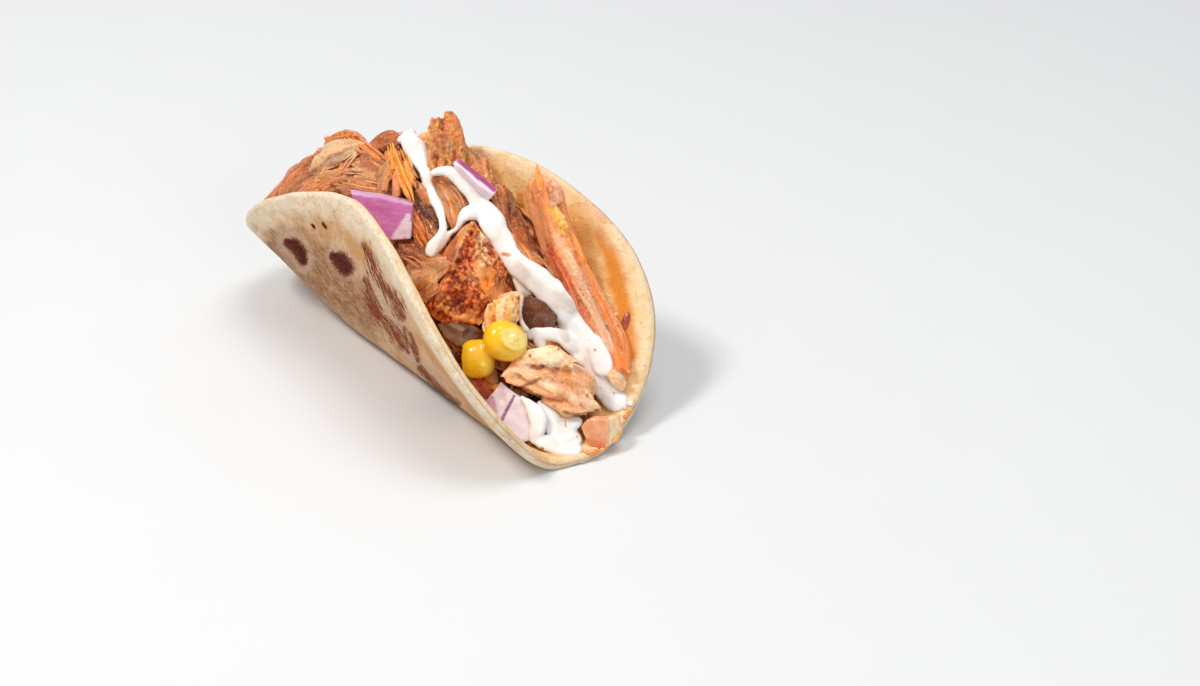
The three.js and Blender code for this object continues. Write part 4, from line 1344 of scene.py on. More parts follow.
def torn(v, f4, f3, seed, amount):
    """The small lumps and pits of torn meat."""
    n = normals(v, f4, f3)
    rough = 0.34 * (0.6 - cells(v, 1.5, seed)) + 0.40 * layered(v, 3.0, seed + 1, 3)
    return above_sheet(v + n * (rough * amount)[:, None])


def build_laid(t):
    """The strips that show one by one: most are melted together, the brightest lie loose on top."""
    joined, fine = Soup(), Soup()
    for k, (tone, lift, fibres, line) in enumerate(FAR_STRIPS_PX + MID_STRIPS_PX):
        far = k < len(FAR_STRIPS_PX)
        if fibres and lift > 2.9:
            strands(fine, t, line, tone, 2000 + k, lift, fibres)
        elif fibres and far:
            lay(joined, t, line, tone, 2000 + k, lift - 1.0, 0.22)
            strands(joined, t, line, tone, 2000 + k, lift, int(fibres * 1.5), 0.42)
            strands(fine, t, line, tone, 4000 + k, lift + 0.5, max(2, fibres // 2), 0.32)
        elif fibres:
            lay(joined, t, line, tone, 2000 + k, lift - 0.6, 0.30)
            strands(joined, t, line, tone, 2000 + k, lift, int(fibres * 1.3), 0.45)
            strands(fine, t, line, tone, 4000 + k, lift + 0.5, max(1, fibres // 4), 0.30)
        else:
            lay(joined, t, line, tone, 2000 + k, lift)
    for k, (tone, lift, fibres, line) in enumerate(FRAY_PX):
        strands(fine, t, line, tone, 5000 + k, lift, fibres, 0.26)
    v, f4, f3, tint, grain = melted(joined, 0.36, 2)
    v = torn(v, f4, f3, 77, 0.3)
    tint = relax(tint * (0.86, 0.76, 0.70), f4)
    # painted shade in the hollows and painted light on the ridges
    return (v, f4, f3, hollow_shade_ridge_light(v, f4, f3, tint, (0.58, 0.38, 0.24), 0.75, 0.35), grain), fine.done()


# Corners of the crusted chunk: x, y in pixels and mm towards the camera.
WEDGE_PX = [(474, 220, 4), (461, 245, 10), (454, 265, 12), (445, 284, 13), (435, 298, 11), (461, 231, -2),
            (447, 251, 0), (436, 274, 2), (426, 298, 5), (425, 307, 7), (437, 321, 10), (455, 321, 11),
            (471, 326, 9), (484, 326, 7), (503, 308, 3), (485, 236, -2), (499, 258, -3), (513, 269, -4),
            (517, 288, -4), (482, 262, 9), (486, 296, 9), (470, 300, 12), (470, 236, -12), (500, 272, -14),
            (440, 300, -9), (490, 316, -10)]
WEDGE_HEADING_PX = [(471, 228, 2), (428, 304, 8)]
CRUST_PX = [[(476, 226, 5), (470, 244, 9), (464, 264, 14), (460, 286, 20), (456, 302, 18)],
            [(474, 300, 18), (486, 308, 12)], [(486, 242, 4), (492, 252, 5)], [(496, 262, 9), (506, 272, 8)],
            [(430, 306, 7), (446, 318, 8)]]
WEDGE_DABS = [
    ([[(456, 238, 5), (446, 262, 7), (436, 284, 8), (430, 298, 7)]], rgb(170, 88, 38), 0.9),
    ([[(450, 244, 2), (440, 268, 2.4), (430, 290, 2.4)]], rgb(214, 124, 66), 0.6),
    ([[(475, 228, 6), (468, 248, 8), (462, 268, 13), (456, 292, 18)], [(470, 298, 18)]], rgb(206, 104, 50),
     0.9),
    ([[(459, 250, 5), (453, 270, 7), (456, 284, 6)], [(446, 300, 7)]], rgb(140, 66, 46), 0.65),
    ([[(464, 292, 7), (458, 306, 7)], [(476, 280, 5)]], rgb(130, 46, 20), 0.75),
    ([[(428, 304, 7), (436, 317, 6), (452, 321, 5), (474, 324, 5)], [(484, 302, 8), (480, 316, 7)]],
     rgb(226, 122, 46), 0.85),
    ([[(474, 226, 5), (476, 234, 4)], [(502, 264, 9), (494, 274, 9), (484, 288, 9)]], rgb(250, 158, 70),
     0.95),
    ([[(480, 236, 5), (485, 247, 8), (484, 262, 7)]], rgb(255, 236, 220), 1.0),
    ([[(488, 244, 3.4), (493, 254, 4)]], rgb(190, 84, 26), 0.95),
    ([[(501, 282, 6), (511, 286, 6)]], rgb(216, 164, 128), 0.9),
    ([[(507, 293, 4)]], rgb(150, 80, 52), 0.7),
]


def build_wedge():
    """The chunk with a beaded brown crust."""
    rng = np.random.default_rng(31)
    ref = middle("chunk_crusted")
    base = remesh(*hull(placed(WEDGE_PX, ref)), 0.8, 2)
    left = unit(-RIGHTWARD * 0.8 + BACK * 0.35 + UPWARD * 0.3)
    v, f4, f3, tint, grain = fibred(base, heading_of(WEDGE_HEADING_PX, ref), ("orange", "tan", "tan", "rust"),
                                    0.07, rng, 60, 24, 0.8, 0.6, 0.40, keep=lambda p,
                                    n: smooth(n @ left, 0.15, 0.8) + 0.06, seed=4, relief=0.2, wander=0.12)
    n = normals(v, f4, f3)
    px = project(v)
    crust = smooth(stroke(px, CRUST_PX) + 0.35 * layered(v, 3.0, 15, 2), 0.0, 0.4) * facing(v, n)
    crust = np.maximum(crust, smooth(0.2 - n @ left, 0.0, 0.5)
                       * smooth(0.3 + 0.8 * layered(v, 6.0, 16, 2), 0.1, 0.5))
    d = cells(v, 2.1, 17)
    d2 = cells(v, 1.15, 18)
    v = v + n * (crust * (1.25 * (0.55 - d) + 0.50 * (0.6 - d2)) + 0.6 * crust * layered(v, 4.2, 19, 2))[:,
                                                                                                         None]
    tint = painted(v, n, tint, WEDGE_DABS, 41, 0.6, 0.45)
    # painted shade in the gaps between the crust's beads
    tint = tint * (1 - crust[:, None] * smooth(d, 0.42, 0.8)[:, None] * (0.34, 0.50, 0.56))
    mix = (smooth(layered(v, 2.2, 20, 2), 0.0, 0.5) * crust * 0.4)[:, None]
    tint = tint * (1 - mix) + rgb(222, 116, 54) * mix
    # painted shade in the hollows and painted light on the ridges
    return v, f4, f3, hollow_shade_ridge_light(v, f4, f3, tint, (0.60, 0.40, 0.28), 0.8, 0.2), grain, crust


def loft(sections, around, count, seed=0, rib=0.3, ribs=1.6, along=0.10, tint=None):
    """A body through closed outlines, each a list of points in space, ribbed along its length, with painted
    shade in the grooves and painted light on the ribs.
    """
    rings = []
    for sec in sections:
        p = np.array(sec, float)
        loop = np.vstack([p, p, p])
        fine = spline(loop, 3 * 160 + 1)[160:320]
        seg = np.linalg.norm(np.diff(np.vstack([fine, fine[:1]]), axis=0), axis=1)
        run = np.concatenate([[0], np.cumsum(seg)])
        want = np.linspace(0, run[-1], around, endpoint=False)
        closed = np.vstack([fine, fine[:1]])
        rings.append(np.stack([np.interp(want, run, closed[:, i]) for i in range(3)], 1))
    rings = np.array(rings)
    at = np.concatenate([[0], np.cumsum(np.linalg.norm(np.diff(rings.mean(1), axis=0), axis=1))])
    want = np.linspace(0, at[-1], count)
    ext = np.vstack([2 * rings[:1] - rings[1:2], rings, 2 * rings[-1:] - rings[-2:-1]])
    out = []
    for w in want:
        k = min(max(np.searchsorted(at, w, "right") - 1, 0), len(at) - 2)
        u = (w - at[k]) / (at[k + 1] - at[k])
        a, b, c, d = ext[k:k + 4]
        out.append(0.5 * (2 * b + (c - a) * u + (2 * a - 5 * b + 4 * c - d) * u ** 2
                          + (3 * b - a - 3 * c + d) * u ** 3))
    out = np.array(out)
    centre = out.mean(1, keepdims=True)
    t = np.linspace(0, 1, count)
    end = np.sqrt(np.clip(1 - np.clip(1 - np.minimum(t, 1 - t) / 0.06, 0, 1) ** 2, 0.02, 1))[:, None, None]
    out = centre + (out - centre) * end
    spoke = out - centre
    girth = np.linalg.norm(np.diff(np.concatenate([out, out[:, :1]], 1), axis=1), axis=2)
    g = np.concatenate([np.zeros((count, 1)), np.cumsum(girth, 1)[:, :-1]], 1)
    # the rib pattern is sampled round a circle so that it closes
    a = np.linspace(0, 2 * np.pi, around, endpoint=False)[None]
    rad = girth.sum(1).mean() / (2 * np.pi) / ribs
    n_at = np.stack(np.broadcast_arrays(np.cos(a) * rad, np.sin(a) * rad, want[:, None] * along), -1)
    r = noise(n_at, 1.0, seed) + 0.5 * noise(n_at * (2.1, 2.1, 1.5), 1.0, seed + 3)
    v = out + unit(spoke) * (r * rib)[..., None]
    # painted shade in the grooves and painted light on the ribs
    groove = np.clip(-r * 1.3, 0, 1)[..., None]
    tint = np.asarray(TONES["tan"] if tint is None else tint)
    col = np.broadcast_to(tint, v.shape) * (1 - groove * (1 - np.asarray(GROOVE_SHADE)))
    col = col * (1 + 0.2 * np.clip(r, 0, 1))[..., None]
    grain = np.stack(np.broadcast_arrays(want[:, None], g, g * 0 + seed * 3.1), -1)
    v = v.reshape(-1, 3)
    caps = np.stack([out[0].mean(0), out[-1].mean(0)])
    col = np.vstack([col.reshape(-1, 3), col[0, :1], col[-1, :1]])
    grain = np.vstack([grain.reshape(-1, 3), grain[0, :1], grain[-1, :1]])
    return np.vstack([v, caps]), grid_faces(count, around), end_faces(count, around), col, grain


# The middle of the long strip in mm, and its outline at nine places along it: x, y in pixels and mm
# towards the camera.
STRIP_LINE = [(19.5, 24, 69), (26, 25, 58), (35, 26, 44), (47, 26.0, 29), (58, 24.5, 17.5), (67, 21.5, 10.5)]
STRIP_ROWS_PX = [
    [(522, 179, 0), (530, 173, 2), (538, 166, 3), (547, 170, 3), (558, 177, 0), (563, 184, -3),
     (549, 191, -5), (532, 188, -3)],
    [(527, 203, 0), (535, 202, 2), (543, 203, 4), (555, 201, 2), (567, 207, -2), (561, 216, -5),
     (545, 218, -6), (532, 212, -3)],
    [(534, 224, 0), (542, 226, 2), (550, 228, 4), (561, 226, 2), (573, 227, -2), (568, 238, -5),
     (552, 243, -6), (540, 236, -3)],
    [(541, 247, 0), (550, 249, 2), (559, 250, 4), (571, 247, 2), (582, 249, -2), (579, 260, -5),
     (562, 265, -6), (547, 260, -3)],
    [(548, 272, 0), (558, 274, 2), (567, 274, 4), (579, 270, 2), (592, 271, -2), (589, 284, -5),
     (571, 289, -6), (555, 284, -3)],
    [(557, 297, 0), (567, 299, 2), (576, 299, 4), (590, 294, 2), (603, 293, -2), (601, 306, -5),
     (581, 313, -6), (563, 308, -3)],
    [(569, 322, 0), (580, 325, 2), (590, 323, 4), (603, 318, 2), (616, 315, -2), (614, 329, -5),
     (595, 337, -6), (576, 334, -3)],
    [(585, 348, 0), (595, 350, 2), (604, 348, 3.5), (615, 344, 2), (628, 342, -2), (627, 356, -5),
     (608, 364, -6), (591, 361, -3)],
    [(603, 380, 0), (610, 383, 2), (617, 381, 3), (624, 376, 2), (632, 372, -1), (631, 386, -4),
     (620, 393, -5), (608, 391, -3)],
]
# Flaps and fibres on it: tone, lift in mm, (for fibres) how many, (x, y, half width) in pixels.
STRIP_FLAPS_PX = [
    ("bright", 0.1, [(537, 169, 2.8), (538.5, 178, 3.4), (540, 188, 2.8)]),
    ("pink", 0.1, [(551, 182, 5), (556, 192, 6), (560, 202, 5)]),
    ("gold", 0.2, [(555, 209, 4), (560, 219, 5), (565, 229, 4)]),
    ("orange", 0.3, [(570, 230, 2.2), (577, 246, 3.4), (584, 262, 2.8)]),
    ("pink", 0.1, [(566, 250, 4), (576, 272, 5), (585, 292, 5)]),
    ("orange", 0.4, [(594, 290, 1.8), (604, 310, 2.6), (613, 330, 2.6), (620, 348, 2)]),
    ("pale", 0.2, [(586, 298, 4), (597, 320, 4.4), (607, 342, 4)]),
    ("orange", 0.5, [(614, 346, 3), (621, 358, 5), (627, 372, 4)]),
    ("cream", 0.7, [(610, 372, 5), (617, 380, 7), (624, 387, 5)]),
]
STRIP_FIBRES_PX = [
    ("salmon", 0.15, 9, [(527, 186, 6), (534, 208, 7), (542, 234, 7), (550, 258, 6)]),
    ("pink", 0.15, 5, [(532, 200, 6), (540, 226, 6), (548, 250, 5)]),
    ("salmon", 0.15, 5, [(553, 258, 6), (561, 272, 7), (570, 290, 6), (580, 312, 4)]),
    ("pale", 0.2, 6, [(578, 280, 6), (590, 302, 6), (602, 326, 6), (612, 350, 5)]),
    ("pink", 0.2, 5, [(604, 318, 5), (614, 340, 5), (622, 360, 5)]),
]
STRIP_GRAINY_PX = [[(552, 180, 11), (558, 200, 9), (566, 236, 8)], [(578, 272, 8), (590, 305, 9)],
                   [(614, 376, 9)]]
STRIP_DABS = [
    ([[(524, 184, 5), (530, 206, 8), (538, 232, 9), (546, 256, 8)]], rgb(232, 148, 92), 0.6),
    ([[(522, 182, 4), (521, 194, 3)]], rgb(196, 110, 64), 0.6),
    ([[(521, 195, 3)]], rgb(150, 62, 34), 0.8),
    ([[(549, 246, 4), (553, 256, 6), (560, 269, 8), (567, 283, 8), (576, 298, 6), (586, 316, 5)]],
     rgb(192, 70, 34), 0.85),
    ([[(572, 290, 5), (580, 306, 6), (588, 322, 6), (596, 338, 4)]], rgb(198, 112, 82), 0.7),
    ([[(548, 178, 7), (556, 188, 9), (555, 200, 8)]], rgb(242, 186, 154), 0.85),
    ([[(549, 184, 3), (553, 190, 3)]], rgb(210, 100, 80), 0.6),
    ([[(552, 210, 5), (559, 219, 7), (565, 230, 5)]], rgb(252, 198, 88), 0.95),
    ([[(556, 236, 5), (566, 252, 7), (576, 270, 7)]], rgb(242, 196, 160), 0.85),
    ([[(578, 272, 6), (588, 294, 7), (598, 316, 7), (608, 340, 6)]], rgb(234, 178, 150), 0.85),
    ([[(568, 276, 2), (576, 286, 2), (584, 296, 2)]], rgb(238, 120, 56), 0.8),
    ([[(569, 228, 2.6), (577, 246, 3.6), (585, 262, 3)]], rgb(246, 162, 70), 0.9),
    ([[(604, 296, 3), (612, 314, 3.4), (620, 332, 3.4)]], rgb(228, 168, 128), 0.7),
    ([[(594, 288, 2), (604, 308, 2.6), (613, 328, 2.8), (620, 346, 2.4)]], rgb(242, 122, 44), 0.95),
    ([[(616, 348, 4), (622, 360, 6), (627, 372, 5)]], rgb(234, 130, 54), 0.85),
    ([[(610, 372, 6), (617, 382, 8), (625, 388, 5)]], rgb(240, 190, 152), 0.85),
    ([[(537, 170, 3.4), (539, 180, 3.8), (540, 188, 3)]], rgb(244, 150, 72), 0.85),
]


def build_strip():
    """The long slab of meat at the right wall: a smooth side of long fibres and a grainy top."""
    refs = spline(STRIP_LINE, len(STRIP_ROWS_PX))
    part = loft([placed(row, ref) for row, ref in zip(STRIP_ROWS_PX, refs)], 120, 150, 5, 0.08, 1.0, 0.12,
                TONES["salmon"])
    t = tree(part)
    soup = Soup()
    soup.add(part)
    for k, (tone, lift, ln) in enumerate(STRIP_FLAPS_PX):
        lay(soup, t, ln, tone, 3000 + k, lift - 0.1, 0.22, 2, 1.4, 0.08)
    for k, (tone, lift, count, ln) in enumerate(STRIP_FIBRES_PX):
        strands(soup, t, ln, tone, 3100 + k, lift - 0.1, count, 0.42)
    v, f4, f3, tint, grain = melted(soup, 0.40, 2)
    n = normals(v, f4, f3)
    grainy = smooth(stroke(project(v), STRIP_GRAINY_PX), 0, 0.5)
    v = torn(v, f4, f3, 78, 0.45)
    v = v + n * (grainy * facing(v, n) * 0.7 * (0.55 - cells(v, 1.3, 61)))[:, None]
    tint = painted(v, n, relax(tint, f4), STRIP_DABS, 51, 0.7, 0.5)
    # painted shade in the hollows and painted light on the ridges
    return v, f4, f3, hollow_shade_ridge_light(v, f4, f3, tint, (0.60, 0.40, 0.28), 0.7, 0.3), grain


# Lobes of the upright piece: tone, (x, y, half width) in pixels, mm to the camera, depth over width.
PEAK_LOBES_PX = [
    ("orange", [(443, 188, 10), (441, 168, 9.5), (438.5, 148, 8.5), (436.5, 130, 7), (436, 119, 5.0)], 1.4,
     1.2),
    ("orange", [(459, 190, 12), (457.5, 168, 12), (455, 148, 11.4), (451.5, 129, 10), (448.8, 111, 5.4)], 0.0,
     1.1),
    ("tan", [(449, 188, 9), (448, 166, 9), (445.5, 146, 8.5), (443, 130, 7), (442, 123, 5.2)], 0.2, 1.1),
    ("tan", [(478, 192, 9), (476, 178, 10), (470, 163, 9.5), (463, 149, 7)], -2.0, 0.9),
    ("pale", [(426, 150, 6), (425, 141, 6), (424, 133, 4)], -3.0, 0.8),
    ("brown", [(488, 193, 8), (486, 182, 8.5), (481, 168, 8), (475, 156, 6.5)], -3.0, 0.8),
    ("pink", [(448, 184, 8), (448, 166, 8), (447, 150, 7), (445, 136, 6)], 3.2, 0.7),
]
PEAK_BOX_PX = ((430, 490), (114, 182))
PEAK_DABS = [
    # painted shade: the dark crease between the lobes
    ([[(443, 119, 2.2), (445, 131, 3), (449, 145, 3.4), (450, 158, 2.6)]], rgb(140, 70, 42), 0.75),
    ([[(456, 116, 6), (460, 130, 7), (455, 140, 6)]], rgb(232, 142, 76), 0.8),
    ([[(446, 124, 4), (448, 140, 4)]], rgb(222, 148, 112), 0.7),
    ([[(434, 120, 4), (434, 138, 4), (436, 152, 4)]], rgb(212, 138, 88), 0.8),
    ([[(437, 152, 2), (438, 160, 2)]], rgb(140, 66, 38), 0.7),
    ([[(452, 158, 5), (461, 152, 4)]], rgb(238, 150, 66), 0.6),
    ([[(464, 142, 5), (472, 148, 5)]], rgb(150, 106, 60), 0.6),
    ([[(466, 152, 6), (474, 160, 6)]], rgb(222, 168, 116), 0.6),
    ([[(480, 164, 5), (488, 176, 5), (494, 186, 4)]], rgb(226, 166, 128), 0.8),
]


def build_peak():
    """The upright piece at the top, of lobes side by side."""
    ref = middle("chunk_peak")
    rng = np.random.default_rng(53)
    soup = Soup()
    for k, (tone, line, toward, deep) in enumerate(PEAK_LOBES_PX):
        p, w = drawn(line, ref, toward, 34, (0.07, 0.72), 0.16, 4.0, k + 50)
        soup.add(sweep(p, BACK, w, w * deep, 60 + k, shade(tone, rng, 0.03), 0.16, 2.2, 0.3))

    def way_of(r):
        return UPWARD, UPWARD + RIGHTWARD * r.normal(-0.1, 0.3)

    scatter(soup, PEAK_BOX_PX, 46, rng, (5, 12), way_of, (-0.1, 0.5), (0.5, 1.3), 0.5,
            ("orange", "tan", "orange", "gold", "rust"), 0.09, 1.2, 6400)
    v, f4, f3, tint, grain = melted(soup, 0.40, 1)
    n = normals(v, f4, f3)
    rough = cells(v, 1.5, 63)
    v = v + n * (0.50 * (0.6 - rough) + 0.26 * (0.6 - cells(v, 0.9, 62)) + 0.6 * layered(v, 3.6, 64, 2))[:,
                                                                                                         None]
    # painted shade in the gaps between the lumps
    tint = relax(tint, f4) * (1 - 0.25 * smooth(rough, 0.5, 0.85))[:, None]
    tint = painted(v, n, tint, PEAK_DABS, 65, 0.7, 0.5)
    # painted shade in the hollows and painted light on the ridges
    return v, f4, f3, hollow_shade_ridge_light(v, f4, f3, tint, (0.58, 0.38, 0.26), 0.8, 0.4), grain


FAR_HEADING_PX = [(318, 170, 0), (362, 150, 0)]
FAR_DABS = [
    ([[(326, 162, 10), (336, 154, 13), (350, 148, 12)]], rgb(255, 228, 204), 0.85),
    ([[(326, 140, 5), (344, 134, 5), (356, 140, 4)]], rgb(236, 156, 88), 0.75),
    ([[(318, 168, 6), (332, 172, 6), (350, 170, 5)]], rgb(200, 128, 80), 0.7),
]
# The far end's outline: y, x in pixels.
FAR_EDGE_PX = [(130, 344), (139, 328), (150, 322), (158, 314), (168, 304), (180, 292), (196, 274)]


def build_far():
    """The pale piece at the far end."""
    rng = np.random.default_rng(59)
    v, f4, f3 = remesh(*cad("chunk_far"), 0.9, 3)
    n = normals(v, f4, f3)
    v = v + n * (1.1 * layered(v, 7.0, 66, 3) - 0.3)[:, None]
    ref = v.mean(0)
    v, f4, f3, tint, grain = fibred((v, f4, f3), heading_of(FAR_HEADING_PX, ref),
                                    ("pink", "tan", "pale", "tan", "brown"), 0.07, rng, 220, 9, 0.5, 0.5,
                                    0.38, seed=6, relief=0.4, wander=0.7)
    v = torn(v, f4, f3, 67, 0.9)
    px = project(v)
    over = np.clip(np.interp(px[:, 1], *np.array(FAR_EDGE_PX).T) - px[:, 0], 0, 99)
    v = v + (RIGHTWARD - UPWARD * 0.3) * in_mm(over * 0.85, v)[:, None]
    n = normals(v, f4, f3)
    tint = painted(v, n, np.clip(relax(tint, f4) * (1.14, 1.12, 1.12), 0, 0.97), FAR_DABS, 68)
    # painted shade in the hollows and painted light on the ridges
    return v, f4, f3, hollow_shade_ridge_light(v, f4, f3, tint, (0.62, 0.44, 0.32), 0.7, 0.3), grain


# Layers of the folded piece: tone, (x, y, half width) in pixels, mm to the camera, depth over width.
LOW_LAYERS_PX = [
    ("tan", [(507, 377, 5), (518, 372, 10), (534, 372, 14), (552, 378, 14), (568, 388, 12), (582, 398, 10)],
     3.6, 0.42),
    ("cream", [(530, 360, 9), (541, 356, 11), (554, 357, 11), (566, 363, 10)], 6.0, 0.6),
    ("pale", [(507, 374, 4), (517, 366, 8), (527, 358, 9), (536, 355, 7)], 5.2, 0.5),
    ("tan", [(510, 381, 4), (524, 383, 7), (540, 388, 7), (552, 394, 6)], 5.4, 0.42),
    ("pale", [(520, 374, 5), (534, 377, 6), (548, 384, 6), (560, 393, 5)], 6.4, 0.45),
    ("pink", [(546, 372, 6), (558, 380, 6), (568, 392, 6), (574, 402, 4)], 6.0, 0.5),
    ("tan", [(546, 399, 5), (556, 404, 7), (568, 407, 8), (580, 409, 7), (590, 408, 5)], 4.6, 0.5),
    ("rust", [(557, 411, 4), (566, 413, 5), (576, 414, 4)], 3.8, 0.6),
    ("pale", [(572, 380, 6), (580, 390, 8), (588, 400, 7), (594, 406, 5)], 4.8, 0.55),
    ("tan", [(566, 374, 5), (574, 386, 5), (584, 396, 4)], 5.6, 0.5),
]
LOW_BOX_PX = ((506, 596), (352, 414))
LOW_GRAINY_PX = [[(536, 358, 15), (562, 362, 15)], [(576, 392, 14), (592, 402, 10)]]
LOW_DABS = [
    ([[(566, 368, 5), (568, 374, 5)]], rgb(240, 150, 62), 0.85),
    # painted highlights: on the glossy spot, on the top, and glints at the lower right
    ([[(572, 366, 2), (574, 374, 2)]], rgb(250, 226, 196), 0.7),
    ([[(538, 354, 8), (556, 356, 9)]], rgb(254, 232, 204), 0.8),
    ([[(572, 396, 7), (586, 402, 7)]], rgb(250, 218, 190), 0.6),
    ([[(516, 372, 6), (530, 371, 7)], [(548, 385, 7), (558, 391, 6)]], rgb(255, 228, 200), 0.7),
    ([[(514, 364, 5), (524, 358, 5)]], rgb(232, 176, 128), 0.6),
    ([[(532, 360, 4), (536, 368, 4)]], rgb(240, 160, 110), 0.5),
    ([[(519, 388, 2.0), (531, 383, 2.4), (541, 378, 1.8)]], rgb(130, 80, 50), 0.75),
    ([[(548, 398, 2.8), (562, 402, 2.4)]], rgb(170, 90, 52), 0.6),
    # the line along the lower edge: its red-brown is the meat's own, its darkness painted shade under it
    ([[(564, 412, 2.8), (576, 415, 2.6), (590, 412, 2)]], rgb(110, 44, 26), 0.8),
    ([[(578, 378, 4), (590, 390, 4)]], rgb(222, 160, 120), 0.6),
    ([[(552, 392, 5), (560, 393, 4)]], rgb(238, 176, 96), 0.5),
    ([[(544, 366, 3), (556, 374, 3)]], rgb(196, 128, 84), 0.5),
]


def build_low():
    """Folded layers of pale meat at the near end."""
    ref = middle("chunk_low")
    rng = np.random.default_rng(61)
    soup = Soup()
    v, f4, f3 = remesh(*cad("chunk_low"), 0.9, 2)
    soup.add(body_part(v - normals(v, f4, f3) * 1.6, f4, f3, (0.6, 0.7, -0.3), TONES["tan"], seed=8))
    for k, (tone, line, toward, deep) in enumerate(LOW_LAYERS_PX):
        p, w = drawn(line, ref, toward, 44, (0.10, 0.8), 0.22, 2.6, k + 80)
        soup.add(sweep(p, unit(BACK + UPWARD * 0.45), w, w * deep * 0.8, 80 + k, shade(tone, rng, 0.03), 0.14,
                       1.5, 2.4, (0.86, 0.72, 0.60)))

    def way_of(r):
        h = RIGHTWARD - UPWARD * r.uniform(0.1, 1.3) + r.normal(0, 0.25, 3)
        return h, h

    scatter(soup, LOW_BOX_PX, 30, rng, (3, 10), way_of, (-0.2, 0.2), (0.3, 0.7), 0.6,
            ("pale", "tan", "cream", "pink", "tan"), 0.08, 1.4, 8400)
    v, f4, f3, tint, grain = melted(soup, 0.38, 34)
    grainy = smooth(stroke(project(v), LOW_GRAINY_PX), 0, 0.6)
    lumps = cells(v, 1.3, 69)
    v = torn(v, f4, f3, 70, 0.25)
    v = v + normals(v, f4, f3) * (grainy * 0.5 * (0.6 - lumps))[:, None]
    n = normals(v, f4, f3)
    # painted shade in the gaps between the grainy lumps
    tint = relax(tint, f4) * (1 - 0.2 * grainy * smooth(lumps, 0.5, 0.85))[:, None]
    tint = painted(v, n, np.clip(tint * (1.00, 1.01, 1.12), 0, 0.95), LOW_DABS, 71, 0.7, 0.45)
    # painted shade in the hollows and painted light on the ridges
    return v, f4, f3, hollow_shade_ridge_light(v, f4, f3, tint, (0.84, 0.58, 0.38), 0.6, 0.35), grain


# Corners of the pale chunk: x, y in pixels and mm towards the camera.
CREAM_PX = [(486, 300, 2), (498, 297, 3), (510, 298, 3), (520, 294, 1), (521, 304, 2), (516, 316, 4),
            (512, 330, 3), (496, 336, 4), (485, 330, 3), (484, 316, 4), (497, 312, 6), (508, 312, 6),
            (488, 304, -7), (518, 300, -7), (512, 332, -6), (488, 332, -6)]
CREAM_DABS = [
    ([[(487, 306, 5), (488, 322, 5)]], rgb(232, 160, 92), 0.6),
    ([[(500, 306, 6), (512, 304, 6)]], rgb(244, 214, 176), 0.5),
    ([[(515, 322, 4)]], rgb(196, 140, 96), 0.5),
]


def build_cream():
    """The pale chunk next to the kernels."""
    ref = middle("chunk_cream")
    rng = np.random.default_rng(67)
    v, f4, f3 = remesh(*hull(placed(CREAM_PX, ref)), 0.6, 2)
    n = normals(v, f4, f3)
    v = v + n * (1.2 * layered(v, 4.5, 74, 3))[:, None]
    v, f4, f3, tint, grain = fibred((v, f4, f3), UPWARD + RIGHTWARD * 0.3,
                                    ("cream", "pale", "cream", "gold", "tan"), 0.05, rng, 34, 8, 0.9, 0.6,
                                    0.38, seed=9, relief=0.25, wander=0.5)
    n = normals(v, f4, f3)
    v = torn(v, f4, f3, 75, 0.9)
    v = v + n * (0.45 * (0.55 - cells(v, 1.3, 75)))[:, None]
    tint = painted(v, n, relax(tint, f4), CREAM_DABS, 76)
    # painted shade in the hollows and painted light on the ridges
    return v, f4, f3, hollow_shade_ridge_light(v, f4, f3, tint, (0.60, 0.42, 0.28), 0.9, 0.3), grain


# ---------------------------------------------------------------- toppings
def ball(centre, axes, half, bend=1.0, rows=56, cols=88):
    """A rounded block: points, faces and each point's place in it, from -1 to 1."""
    lat = np.linspace(-np.pi / 2, np.pi / 2, rows)[1:-1, None]
    lon = np.linspace(0, 2 * np.pi, cols, endpoint=False)[None]

    def p(x):
        return np.sign(x) * np.abs(x) ** bend

    u = np.stack(np.broadcast_arrays(p(np.cos(lat)) * p(np.cos(lon)), p(np.sin(lat)),
                                     p(np.cos(lat)) * p(np.sin(lon))), -1)
    m = rows - 2
    u = np.vstack([u.reshape(-1, 3), [[0, -1, 0], [0, 1, 0]]])
    return centre + (u * half) @ np.array(axes), grid_faces(m, cols)[:, ::-1], end_faces(m, cols)[:, ::-1], u


def frame_of(right_turn, up_turn, spin=0.0):
    """Axes that face the camera, turned to its right and up, in degrees."""
    a, b, c = RIGHTWARD, UPWARD, BACK
    t, s, r = math.radians(right_turn), math.radians(up_turn), math.radians(spin)
    a, c = a * math.cos(t) - c * math.sin(t), c * math.cos(t) + a * math.sin(t)
    b, c = b * math.cos(s) - c * math.sin(s), c * math.cos(s) + b * math.sin(s)
    a, b = a * math.cos(r) + b * math.sin(r), b * math.cos(r) - a * math.sin(r)
    return np.array([a, b, c])


# The middles of the kernels, x, y in pixels.
CORN_ROUND_PX = (505, 341)
CORN_CUT_PX = (477, 359)


